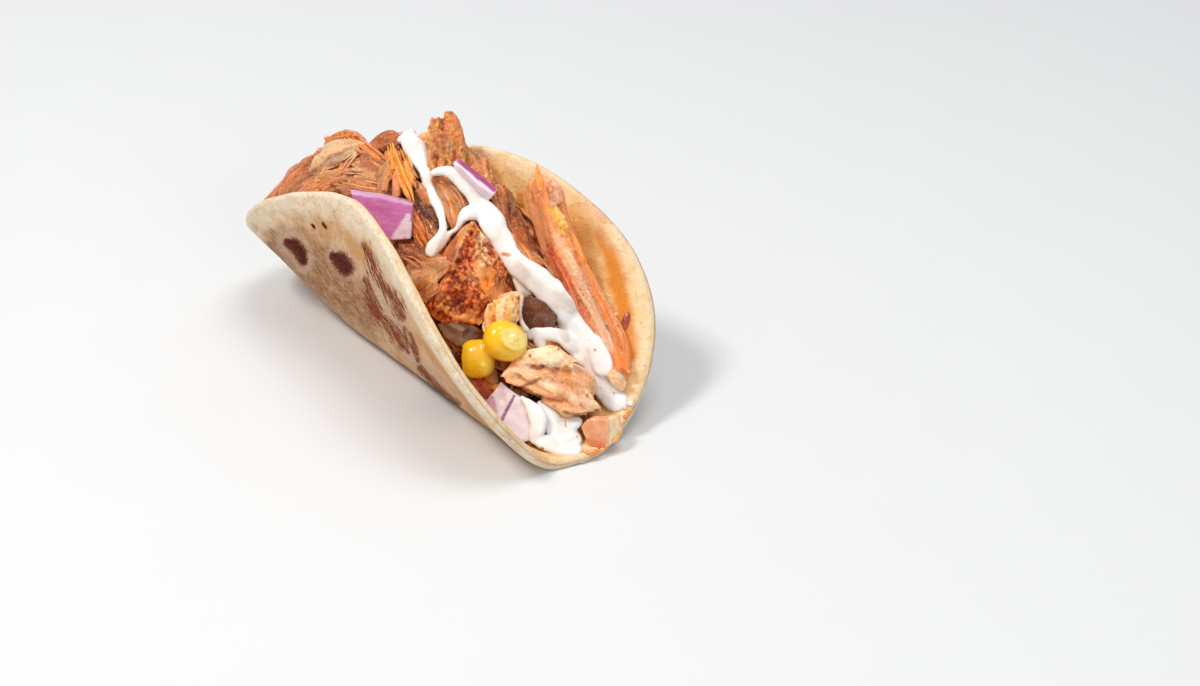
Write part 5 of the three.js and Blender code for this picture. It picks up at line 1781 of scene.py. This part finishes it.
def build_corn_round(mat):
    """The whole kernel, with its dimple and its pale cut face."""
    ref = middle("corn_kernel_round")
    c = place(*CORN_ROUND_PX, ref)
    v, f4, f3, u = ball(c, frame_of(16, 8, -14), np.array([6.9, 6.1, 5.2]), 0.92)
    n = normals(v, f4, f3)
    front = smooth(u[:, 2], 0.1, 0.6)
    d = np.hypot((u[:, 0] - 0.22) / 0.62, (u[:, 1] - 0.10) / 0.58) + 0.10 * noise(v, 2.6, 80)
    patch = smooth(1.05 - d, 0.0, 0.25) * front
    ridge = np.exp(-((d - 0.92) / 0.13) ** 2) * front
    dimple = np.exp(-((d - 0.45) / 0.16) ** 2) * front
    v = v + n * (0.30 * ridge - 0.25 * dimple + 0.30 * layered(v, 4.5, 81, 2)
                 + 0.12 * patch * layered(v, 1.4, 82, 2))[:, None]
    tint = rgb(255, 202, 18) + np.zeros_like(v)
    below = smooth(-u[:, 1] + 0.3 * u[:, 0], 0.2, 0.9)[:, None]
    tint = tint * (1 - below * 0.4) + rgb(252, 214, 70) * below * 0.4
    edge = smooth(u[:, 0], 0.45, 0.95)[:, None]
    tint = tint * (1 - edge) + rgb(252, 224, 104) * edge
    w = (patch * (0.75 + 0.25 * layered(v, 1.8, 83, 2)))[:, None]
    tint = tint * (1 - w) + rgb(254, 236, 158) * w
    dark = (np.exp(-((d - 0.62) / 0.07) ** 2) * front * smooth(noise(v, 2.0, 84), -0.2, 0.5))[:, None] * 0.6
    tint = tint * (1 - dark) + rgb(226, 178, 60) * dark
    piece("corn_round", v, f4, f3, mat, "corn", ["corn_kernel_round"], tint=tint)


def build_corn_cut(mat):
    """The kernel with a flat end, partly behind the other."""
    ref = middle("corn_kernel_cut")
    c = place(*CORN_CUT_PX, ref)
    axes = frame_of(-14, 14, 4)
    v, f4, f3, _ = ball(c, axes, np.array([5.4, 5.9, 4.4]), 0.78)
    loc = (v - c) @ axes.T
    cut = -3.7 + 0.25 * noise(v, 2.5, 85)
    over = np.clip(cut - loc[:, 0], 0, 99)
    v = v + axes[0] * (over * 0.94)[:, None]
    n = normals(v, f4, f3)
    v = v + n * (0.25 * layered(v, 4.0, 86, 2))[:, None]
    tint = rgb(252, 206, 16) + np.zeros_like(v)
    deep = smooth(loc[:, 0], -2.0, 1.5)[:, None] * smooth(2.6 - np.abs(loc[:, 0] - 0.6), 0, 2)[:, None]
    tint = tint * (1 - deep * 0.5) + rgb(242, 172, 6) * deep * 0.5
    edge = (smooth(over, 0.02, 0.3) * 0.5 + smooth(loc[:, 0], 2.8, 4.8) * 0.7
            + smooth(loc[:, 1], 3.8, 5.6) * 0.5)[:, None].clip(0, 1)
    tint = tint * (1 - edge) + rgb(252, 214, 76) * edge
    piece("corn_cut", v, f4, f3, mat, "corn", ["corn_kernel_cut"], tint=tint)


def block(name, points, voxel, smoothing, base, dabs, seed, lumps=0.3, size=4.0, heading=None, fine=0.0):
    """A smooth lump through corners of x, y in pixels and mm towards the camera, painted with dabs."""
    ref = middle(name)
    v, f4, f3 = remesh(*hull(placed(points, ref)), voxel, smoothing)
    n = normals(v, f4, f3)
    v = above_sheet(v + n * (lumps * layered(v, size, seed, 2) + fine * layered(v, 1.1, seed + 1, 2))[:,
                                                                                                      None])
    h = unit(RIGHTWARD if heading is None else heading)
    a1 = unit(np.cross(h, BACK))
    grain = np.stack([v @ h, v @ a1, v @ np.cross(h, a1)], 1)
    n = normals(v, f4, f3)
    tint = painted(v, n, np.broadcast_to(base, v.shape).copy(), dabs, seed, 0.45, 0.22)
    return v, f4, f3, tint, grain


# Corners of the onion pieces, x, y in pixels and mm towards the camera, and the dabs of colour on them.
MAGENTA_ONION_PX = [(352, 194, 1.6), (384, 199, 2.4), (413, 205, 1.8), (412, 222, 2.2), (410.5, 239, 1.6),
                    (392, 240, 2.2), (372, 243, 1.6), (356, 222, 2.0), (350, 189, -2.0), (382, 193.5, -1.4),
                    (414, 200.5, -2.0), (413, 236, -2.4), (374, 240, -2.4)]
MAGENTA_ONION_DABS = [
    ([[(408, 216, 4), (404, 228, 7), (398, 238, 7)], [(410, 226, 6), (409, 238, 5)]], rgb(232, 208, 216),
     0.95),
    ([[(366, 206, 4), (388, 212, 4)]], rgb(186, 86, 150), 0.5),
    ([[(352, 192, 3), (382, 196, 2.6), (412, 203, 2.4)]], rgb(214, 180, 204), 0.85),
]
PINK_ONION_PX = [(453, 163, 1), (458, 157.5, -1.5), (468, 165, -1), (488, 180.5, -1), (497.5, 189.5, -0.5),
                 (494, 195, 1.6), (488, 201, 0), (477, 190, 1.8), (466, 181, 0.8), (456, 172, 0.5),
                 (460, 166, 2.6), (477, 183, 2.9), (456, 168, -4), (490, 196, -4), (474, 176, -4.5)]
PINK_ONION_DABS = [
    ([[(459, 160, 3.4), (470, 169, 4.2), (482, 179, 4.0), (494, 189.5, 3.0)]], rgb(190, 70, 140), 1.0),
    ([[(463, 162, 1.4), (476, 172, 1.8), (486, 181, 1.4)]], rgb(160, 44, 112), 0.7),
    ([[(462, 172, 3), (474, 184, 3.5), (486, 194, 3)]], rgb(244, 218, 230), 0.5),
]
PALE_ONION_PX = [(480, 408, 1), (485, 400, 2), (493, 390, 2), (501, 381, 0), (508, 387, 2), (515, 395, 2.6),
                 (529, 404, 3), (540, 413, 3), (546, 424, 3), (545, 434, 4), (534, 441, 5), (518, 442, 5),
                 (508, 434, 5), (497, 424, 4), (488, 416, 3), (490, 396, -4), (520, 398, -6), (545, 425, -5),
                 (510, 440, -3)]
PALE_ONION_DABS = [
    ([[(483, 408, 6), (490, 400, 6), (494, 412, 5)], [(488, 415, 4), (496, 422, 4)]], rgb(206, 160, 188),
     0.85),
    ([[(514, 396, 1.6), (507, 409, 2.0), (499, 424, 1.8)]], rgb(156, 80, 136), 0.9),
    ([[(500, 387, 4), (504, 394, 4)]], rgb(230, 190, 206), 0.7),
    # painted shade: the lilac-grey of the shaded folds at its right end
    ([[(534, 428, 3), (540, 421, 2.4)]], rgb(176, 136, 178), 0.7),
    ([[(484, 406, 1.4)], [(488, 403, 1.2)], [(485, 411, 1.2)], [(492, 398, 1.0)]], rgb(150, 80, 130), 0.8),
]
PALE_ONION_GROOVE_PX = [[(514.5, 396, 1.8), (507.5, 409, 2.2), (499.5, 424, 2.0)]]


def build_onions():
    """The three onion pieces."""
    mat = onion_material()
    first = block("onion_magenta", MAGENTA_ONION_PX, 0.34, 2, rgb(202, 112, 168), MAGENTA_ONION_DABS, 90,
                  0.22, 5.0, fine=0.05)
    second = block("onion_pink", PINK_ONION_PX, 0.34, 2, rgb(250, 232, 240), PINK_ONION_DABS, 94, 0.2, 4.0,
                   heading=RIGHTWARD - UPWARD * 0.7)
    third = block("onion_pale", PALE_ONION_PX, 0.38, 2, rgb(240, 226, 232), PALE_ONION_DABS, 98, 0.75, 5.5,
                  fine=0.08)
    v, f4, f3, tint, grain = third
    n = normals(v, f4, f3)
    groove = smooth(stroke(project(v), PALE_ONION_GROOVE_PX), 0, 0.8) * facing(v, n)
    v = v - n * (groove * 0.7)[:, None]
    third = (v, f4, f3, tint, grain)
    for name, node, part in (("onion_magenta_face", "onion_magenta", first),
                             ("onion_by_sauce", "onion_pink", second), ("onion_near", "onion_pale", third)):
        piece(name, *part[:3], mat, "onion", [node], tint=part[3], grain=part[4])
    return [first, second, third]


# The same for the tomato pieces and the brown slice.
TOMATO_CUBE_PX = [(581, 427, 2), (586, 440, 2), (589, 447, 2), (606, 448, 3), (608, 420, 4), (594, 415.5, 2),
                  (586, 420, 2), (620, 415, -1), (623, 430, -1), (613, 444, 1), (586, 430, -6),
                  (612, 424, -6), (600, 444, -6)]
TOMATO_CUBE_DABS = [
    ([[(614, 420, 7), (617, 430, 7), (612, 440, 5)]], rgb(254, 226, 182), 1.0),
    ([[(590, 420, 4), (602, 418, 4)]], rgb(238, 160, 116), 0.6),
    ([[(590, 442, 5), (602, 446, 5)]], rgb(228, 112, 50), 0.6),
    ([[(608, 421, 1.6), (608, 434, 1.6), (607, 446, 1.6)]], rgb(248, 196, 158), 0.7),
]
TOMATO_PIECE_PX = [(464, 381, 0), (471, 375, 1), (483, 377, 2), (495, 377, 2), (499, 385, 2), (493, 394, 3),
                   (485, 402, 3), (475, 396, 3), (468, 389, 2), (472, 380, -5), (494, 384, -5),
                   (480, 396, -4)]
TOMATO_PIECE_DABS = [
    ([[(470, 382, 4), (476, 390, 4)]], rgb(214, 120, 96), 0.6),
    ([[(488, 384, 6), (492, 392, 5)]], rgb(232, 124, 44), 0.85),
    ([[(480, 394, 4)]], rgb(160, 60, 40), 0.5),
]
BROWN_SLICE_PX = [(436, 324, 3), (444, 320, 3), (458, 319, 3), (472, 323, 3), (484, 331, 2), (486, 344, 2),
                  (474, 351, 3), (458, 346, 4), (445, 338, 4), (446, 328, -1), (476, 334, -3), (470, 348, -1)]
BROWN_SLICE_DABS = [
    ([[(440, 328, 5), (447, 336, 6)]], rgb(168, 138, 110), 0.8),
    ([[(449, 322, 3), (456, 326, 4), (462, 329, 3)]], rgb(212, 190, 166), 0.8),
    ([[(467, 334, 7), (480, 339, 8)]], rgb(116, 70, 40), 0.9),
    ([[(474, 325, 4), (480, 328, 4)]], rgb(196, 112, 52), 0.85),
    ([[(450, 345, 1.8), (460, 349, 1.8)]], rgb(176, 146, 118), 0.6),
]


def build_tomato():
    """The tomato pieces and the smooth brown slice under the crusted chunk."""
    mat = wet_material("tomato", 0.22, 330.0, 0.3, (1.0, 0.32, 0.16), 0.45, (0.9, 0.6, 0.45))
    cube = block("tomato_cube", TOMATO_CUBE_PX, 0.36, 3, rgb(236, 170, 126), TOMATO_CUBE_DABS, 102, 0.35, 4.0,
                 fine=0.08)
    bit = block("tomato_piece", TOMATO_PIECE_PX, 0.36, 3, rgb(196, 84, 54), TOMATO_PIECE_DABS, 106, 0.5, 4.0,
                fine=0.1)
    piece("tomato_cube_near", *cube[:3], mat, "tomato", ["tomato_cube"], tint=cube[3])
    piece("tomato_bit", *bit[:3], mat, "tomato", ["tomato_piece"], tint=bit[3])
    smooth_mat = wet_material("brown_slices", 0.22, 240.0, 0.1, (1.0, 0.6, 0.4), 0.6, (0.85, 0.74, 0.64),
                              0.10, 1.22)
    cap = block("brown_slice", BROWN_SLICE_PX, 0.36, 9, rgb(146, 108, 78), BROWN_SLICE_DABS, 110, 0.3, 6.0,
                fine=0.02)
    piece("slice_brown", *cap[:3], smooth_mat, "slice", ["brown_slice"], tint=cap[3])
    return [cube, bit, cap], smooth_mat


# ---------------------------------------------------------------- sauce
SHORT_RUN_PX = [
    [(400, 141, 4), (406, 137, 4.6), (412, 133.5, 4.4)],
    [(409, 140, 10), (413.5, 147, 11.6), (419, 156, 11), (425, 167, 9.2), (428, 178, 7.5), (430, 189, 5.6),
     (434, 199, 5),
     (439, 209, 4.6), (442, 219, 4.2), (443, 229, 3.8), (439, 238, 4.6), (433, 246, 6.6), (431, 252, 7.2)],
    [(436, 249, 5.2), (443, 241, 3.8), (450, 233.5, 2.8), (456, 229.5, 2.2)],
]
LONG_RUN_PX = [
    [(433, 173.5, 3.4), (441, 171.5, 5.4), (451, 173, 7), (461, 181.5, 8), (470.5, 192.5, 9),
     (479, 202, 10.4), (487, 213, 11.6),
     (494, 227, 12), (502, 243, 12), (510, 256, 11.6), (519, 266, 12), (531, 275, 12.5), (544, 286, 13),
     (556, 298, 13),
     (565, 311, 13), (573, 324, 13.5), (583, 338, 13.5), (590, 354, 13.4), (596, 370, 12.6), (602, 384, 12.2),
     (609, 395, 12),
     (616, 401.5, 11)],
    [(484, 214, 8), (476, 212.5, 7.8), (467, 214, 6.6), (461.5, 220, 4.6), (458.5, 227, 3.0)],
    [(523, 270, 7), (526, 284, 8), (528, 293, 7)],
    [(530, 335, 5.6), (536, 332.5, 6.8), (544, 333.5, 7.4), (553, 334.5, 7.4), (563, 338, 8), (573, 347, 9),
     (583, 360, 9)],
    [(539, 339, 6.4), (541, 345, 5.4)],
    [(522, 297, 2.4), (520, 310, 2.0), (521.5, 322, 2.2), (526, 330, 3.4)],
    [(594, 344, 9), (600, 356, 9), (604, 368, 9)],
]
POOL_PX = [
    [(541, 404, 4), (548, 410, 7), (553, 420, 9), (556, 432, 11), (562, 442, 12), (570, 446, 11)],
    [(560, 424, 9), (570, 424, 8), (578, 422, 5)],
    [(568, 434, 11), (575, 440, 8)],
    [(534, 440, 5), (541, 441, 7), (550, 446, 8), (561, 450, 8), (574, 450, 7)],
    [(522, 398, 3.4), (530, 406, 6), (537, 416, 8), (538, 428, 8), (534, 436, 6)],
]
# Where the sauce is spread so thin that the meat shows through it.
THIN_PX = [
    [(520, 268, 9), (532, 280, 12), (546, 292, 13), (558, 306, 12)],
    [(566, 326, 10), (578, 346, 12), (586, 362, 10)],
    [(512, 256, 8), (520, 276, 9), (524, 292, 8)],
]
SHEER_PX = [
    [(518, 268, 9), (528, 284, 13), (542, 296, 14), (560, 300, 12), (572, 308, 8)],
    [(524, 296, 7), (523, 316, 6)],
    [(562, 328, 8), (566, 338, 6)],
]
SAUCE_SPOTS_PX = [[(503, 254, 3.6), (509, 255, 3.0)], [(595, 350, 2.4)], [(601, 388, 1.3)], [(614, 393, 1.8)],
                  [(589, 340, 1.2)], [(565, 421, 1.4), (566, 427, 1.2)], [(577, 437, 1.6)],
                  [(547, 453, 2.0), (556, 457, 1.6)]]


def drops(soup, t, lines, lift, flat, tall, ref=None, even=9):
    """Overlapping flat drops along lines in pixels of the picture, on what the tree holds.
    They lie no deeper than ref."""
    lat, lon = np.meshgrid(np.linspace(0, np.pi, 8)[1:-1], np.linspace(0, 2 * np.pi, 12, endpoint=False),
                           indexing="ij")
    u = np.stack([np.sin(lat) * np.cos(lon), np.sin(lat) * np.sin(lon), np.cos(lat)], -1).reshape(-1, 3)
    u = np.vstack([u, [[0, 0, 1], [0, 0, -1]]])
    f4, f3, blank = grid_faces(6, 12), end_faces(6, 12), np.zeros_like(u)
    for line in lines:
        run = np.linalg.norm(np.diff(np.array(line)[:, :2], axis=0), axis=1).sum()
        m = max(6, int(run / 1.5))
        x, y, radius = spline(line, m).T
        p, n = cast_line(t, line, m, 0.0, min(even, m // 3))
        if ref is not None:
            p = np.array([q if (q - ref) @ BACK > -1 else place(x[i], y[i], ref, -1) for i,
                          q in enumerate(p)])
        up = unit(n * 0.6 + BACK * 0.4 + np.array([0, 0, 0.3]))
        tan = unit(np.gradient(p, axis=0))
        side = unit(np.cross(up, tan))
        w = in_mm(radius, p) * (1 + 0.17 * noise(p, 3.0, 7) + 0.13 * noise(p, 7.0, 8))
        h = np.minimum(w * flat, tall) + 0.32
        for i in range(m):
            loc = np.stack([side[i] * w[i], np.cross(side[i], up[i]) * w[i], up[i] * h[i]])
            soup.add(((p[i] + up[i] * (lift * h[i])) + u @ loc, f4, f3, blank, blank))


def build_sauce(t):
    """The two runs of sauce and the pool at the near end."""
    mat = sauce_material()
    for name, node, runs, flat, tall, seed, ref in (
            ("sauce_drizzle", "sauce_runs", SHORT_RUN_PX + LONG_RUN_PX, 0.20, 0.6, 77, None),
            ("sauce_near", "sauce_pool", POOL_PX, 0.22, 0.8, 78, middle("sauce_pool"))):
        soup = Soup()
        drops(soup, t, runs, 0.3, flat, tall, ref=ref)
        if ref is None:
            drops(soup, t, THIN_PX, 0.1, 0.05, 0.25, even=4)
        v, f4, f3 = remesh(*soup.done()[:3], 0.42, 12)
        n = normals(v, f4, f3)
        v = above_sheet(v + n * (0.16 * layered(v, 6.0, seed, 2) + 0.10 * layered(v, 2.6, seed + 1, 2)
                                 + 0.32)[:, None])
        px, seen = project(v), facing(v, normals(v, f4, f3))
        spots = np.clip(stroke(px, SAUCE_SPOTS_PX), 0, 1) * seen
        thin = smooth(stroke(px, SHEER_PX) + 0.25 * layered(v, 3.0, 79, 2), 0.0, 0.6) * seen
        piece(name, v, f4, f3, mat, "sauce", [node], spots=spots, thin=thin)


# ---------------------------------------------------------------- small things
# Oil that has run out of the meat, as (x, y, radius) in pixels of the picture.
OIL_PX = [
    [(584, 452, 2.2), (591, 453.5, 3.0), (598, 452, 3.2), (605, 448, 2.2)],
    [(613, 442, 2.4), (617, 438, 3.0), (621, 432, 2)],
    [(625, 417, 2.6), (628, 413, 3.0), (631, 408, 2)],
    [(490, 386, 4), (497, 387, 4)],
]
# Scraps, each as its middle and half sizes in pixels, its turn in degrees, its thickness in mm and
# its colour.
SCRAPS_PX = {
    "scrap_red_skin": [(626, 321, 3.6, 9.5, -14, 0.45, rgb(168, 62, 50))],
    "scrap_onion": [(630, 404, 3.4, 2.6, 10, 0.8, rgb(250, 240, 236)),
                    (625, 408, 2.4, 1.8, 60, 0.7, rgb(248, 226, 210))],
    "scrap_herb": [(529, 394, 3.2, 1.3, -24, 0.35, rgb(62, 74, 40)),
                   (533, 398, 2.2, 1.0, 40, 0.35, rgb(84, 96, 58)),
                   (611, 393, 1.5, 0.8, 20, 0.3, rgb(104, 112, 44)),
                   (616, 396, 1.2, 0.8, 80, 0.3, rgb(120, 120, 52)),
                   (582, 432, 1.6, 0.9, 50, 0.3, rgb(140, 134, 66)),
                   (394, 170, 1.4, 0.7, 30, 0.3, rgb(96, 92, 44)),
                   (462, 150, 1.8, 0.9, 60, 0.3, rgb(88, 78, 38)),
                   (460, 264, 1.3, 0.8, 0, 0.3, rgb(92, 84, 36))],
}
# The gap in the sauce: its outline, its middle with mm towards the camera, and its colours, a dark brown that
# is painted shade under the sauce.
HOLE_PX = [(517, 299), (530, 296), (545, 302), (558, 316), (554, 331), (538, 336), (523, 328), (516, 313)]
HOLE_MIDDLE_PX = (534, 312, 1.6)
HOLE_SHADE_DABS = [([[(526, 304, 5), (538, 305, 5)]], rgb(134, 86, 58), 0.5),
             ([[(546, 324, 6)]], rgb(96, 52, 30), 0.6)]
CRUMBS_BOX_PX = ((300, 620), (140, 430))


def scrap(t, x, y, wide, tall, turn, thick, seed, rows=14):
    """A small flat scrap that lies on what the ray of its pixel meets."""
    p, n = cast(t, x, y)
    px = in_mm(1.0, p)
    a = math.radians(turn)
    across = RIGHTWARD * math.cos(a) + UPWARD * math.sin(a)
    across = unit(across - n * (across @ n))
    v, f4, f3, u = ball(p + n * thick * 0.5, [across, np.cross(n, across), n],
                        np.array([wide * px, tall * px, thick]), 0.9, rows, 2 * rows)
    return v + n * (thick * 0.35 * noise(u * 2.2, 1.0, seed))[:, None], f4, f3


def build_scraps(t):
    """Scraps of skin, onion and herb that lie on the filling."""
    looks = {"scrap_red_skin": ("tomato", wet_material("red_skin", 0.25, 500.0, 0.1, (1.0, 0.3, 0.2), 0.4)),
             "scrap_onion": ("onion", wet_material("onion_scrap", 0.2, 400.0, 0.3, (1.0, 0.9, 0.85), 0.5,
                                                   (0.95, 0.85, 0.75))),
             "scrap_herb": (None, wet_material("herb", 0.4, 900.0, 0.05, (0.4, 1.0, 0.2), 0.2,
                                               (0.5, 0.6, 0.4)))}
    for name, (slot, mat) in looks.items():
        soup = Soup()
        for k, (x, y, wide, tall, turn, thick, colour) in enumerate(SCRAPS_PX[name]):
            v, f4, f3 = scrap(t, x, y, wide, tall, turn, thick, 120 + k)
            soup.add((v, f4, f3, np.broadcast_to(colour, v.shape), v))
        v, f4, f3, tint, _ = soup.done()
        piece(name, v, f4, f3, mat, slot, tint=tint)


def build_gap_slice_painted_shade(t, mat):
    """The smooth slice that shows through the gap in the sauce, painted dark brown as painted shade."""
    ref = np.mean([cast(t, x, y)[0] for x, y in HOLE_PX], 0)
    corners = [(x, y, d) for d in (0.6, -1.6) for x, y in HOLE_PX] + [HOLE_MIDDLE_PX]
    v, f4, f3 = remesh(*hull(placed(corners, ref)), 0.4, 4)
    n = normals(v, f4, f3)
    v = v + n * (0.35 * layered(v, 5.0, 131, 2))[:, None]
    # painted shade: the dark brown of the slice and its dabs
    tint = painted(v, n, np.broadcast_to(rgb(112, 64, 40), v.shape).copy(), HOLE_SHADE_DABS, 132)
    piece("gap_slice_painted_shade", v, f4, f3, mat, "slice", tint=tint)


def build_oil(t):
    """Drops of orange oil."""
    oil = wet_material("oil", 0.10, 300.0, 0.2, (1.0, 0.6, 0.15), 1.0, (0.95, 0.8, 0.6))
    soup = Soup()
    drops(soup, t, OIL_PX, -0.1, 0.08, 0.2, even=3)
    v, f4, f3 = remesh(*soup.done()[:3], 0.36, 4)
    v = above_sheet(v)
    streaky = smooth(layered(v, 3.0, 133, 2), -0.4, 0.4)[:, None]
    piece("oil_drops", v, f4, f3, oil, "sauce", tint=rgb(238, 140, 46) * (1 - streaky)
          + rgb(250, 190, 96) * streaky)


def build_crumbs(t, filling):
    """Small crumbs of meat where the picture's rays meet the filling."""
    rng = np.random.default_rng(135)
    soup = Soup()
    for k in range(90):
        x, y = rng.uniform(*CRUMBS_BOX_PX[0]), rng.uniform(*CRUMBS_BOX_PX[1])
        p, inside_at = cast(t, x, y)[0], cast(filling, x, y)[0]
        if p is None or inside_at is None or np.linalg.norm(p - inside_at) > 0.01:
            continue
        size = rng.uniform(0.9, 2.2)
        v, f4, f3 = scrap(t, x, y, size, size * rng.uniform(0.4, 0.8), rng.uniform(0, 180),
                          rng.uniform(0.25, 0.6), 140 + k, 8)
        soup.add((v, f4, f3, np.broadcast_to(shade(("tan", "brown", "orange", "cream", "pale")[k % 5], rng,
                                                   0.1), v.shape), v))
    v, f4, f3, tint, grain = soup.done()
    piece("meat_crumbs", v, f4, f3, bpy.data.materials["pulled_meat"], "meat", tint=tint, grain=grain)


# ---------------------------------------------------------------- lights, floor
def area(name, at, energy, size, colour):
    """A square lamp that points at the middle of the taco, in metres."""
    data = bpy.data.lights.new(name, "AREA")
    data.energy, data.size, data.color = energy, size, colour
    ob = bpy.data.objects.new(name, data)
    ob.location = at
    ob.rotation_euler = (Vector(at) - Vector((0, 0, 0.04))).to_track_quat("Z", "Y").to_euler()
    bpy.context.scene.collection.objects.link(ob)


def build_studio():
    """Three lamps, a pale sky and a plain floor."""
    world = bpy.data.worlds.new("studio")
    bpy.context.scene.world = world
    world.use_nodes = True
    bg = world.node_tree.nodes["Background"]
    bg.inputs[0].default_value = (0.93, 0.96, 1.0, 1)
    bg.inputs[1].default_value = 0.42
    area("key", (-0.28, -0.60, 1.05), 8.0, 0.26, (1.0, 0.97, 0.93))
    area("top", (0.10, 0.15, 1.15), 4.8, 0.55, (1.0, 0.99, 0.97))
    area("side", (0.95, -0.20, 0.55), 1.6, 0.4, (1.0, 0.98, 0.95))
    side = 3.0
    me = bpy.data.meshes.new("floor")
    me.from_pydata([(-side, -side, 0), (side, -side, 0), (side, side, 0), (-side, side, 0)], [],
                   [(0, 1, 2, 3)])
    mat, n, bsdf = node_material("floor")
    where = n.where()
    n.fill(bsdf, {"Base Color": n.mix(n.noise(where, 3.0, 2.0), (0.77, 0.78, 0.79), (0.79, 0.8, 0.81)),
                  "Roughness": n.span(n.noise(where, 30.0), 0.3, 0.7, 0.55, 0.62)})
    me.materials.append(mat)
    ob = bpy.data.objects.new("floor", me)
    bpy.context.scene.collection.objects.link(ob)
    bpy.context.scene.view_settings.view_transform = "Standard"
    bpy.context.scene.view_settings.look = "None"


build_camera()
build_studio()
tortilla = build_tortilla()
meat = meat_material("pulled_meat", 1.02)
pale_meat = meat_material("pale_meat", 1.28, (1.07, 0.98, 0.88))
heap, loose = build_shreds(build_core())
wedge = build_wedge()
strip = build_strip()
peak = build_peak()
far = build_far()
low = build_low()
cream = build_cream()
under = tree(heap, loose, wedge, strip, peak, far, low, cream)
laid, fine = build_laid(under)
onions = build_onions()
bits, slice_mat = build_tomato()
corn = corn_material()
build_corn_round(corn)
build_corn_cut(corn)
filling = tree(heap, loose, wedge, strip, peak, far, low, cream, laid, fine)
everything = tree(heap, loose, wedge, strip, peak, far, low, cream, laid, fine, tortilla, *onions, *bits)
build_sauce(everything)
build_scraps(everything)
build_gap_slice_painted_shade(everything, slice_mat)
build_oil(everything)
build_crumbs(everything, filling)
for name, part, mat, nodes in (
        ("meat_heap", heap, meat, ["pulled_meat"]),
        ("meat_loose", loose, meat, []),
        ("meat_fibres", fine, meat, []),
        ("meat_strips", laid, meat, []),
        ("meat_crusted", wedge, crust_material(), ["chunk_crusted"]),
        ("meat_long_strip", strip, pale_meat, ["strip_long"]),
        ("meat_peak", peak, meat, ["chunk_peak"]),
        ("meat_far", far, meat, ["chunk_far"]),
        ("meat_low", low, pale_meat, ["chunk_low"]),
        ("meat_cream", cream, pale_meat, ["chunk_cream"])):
    crust = {"crust": part[5]} if len(part) > 5 else {}
    piece(name, *part[:3], mat, "meat", nodes, tint=part[3], grain=part[4], **crust)
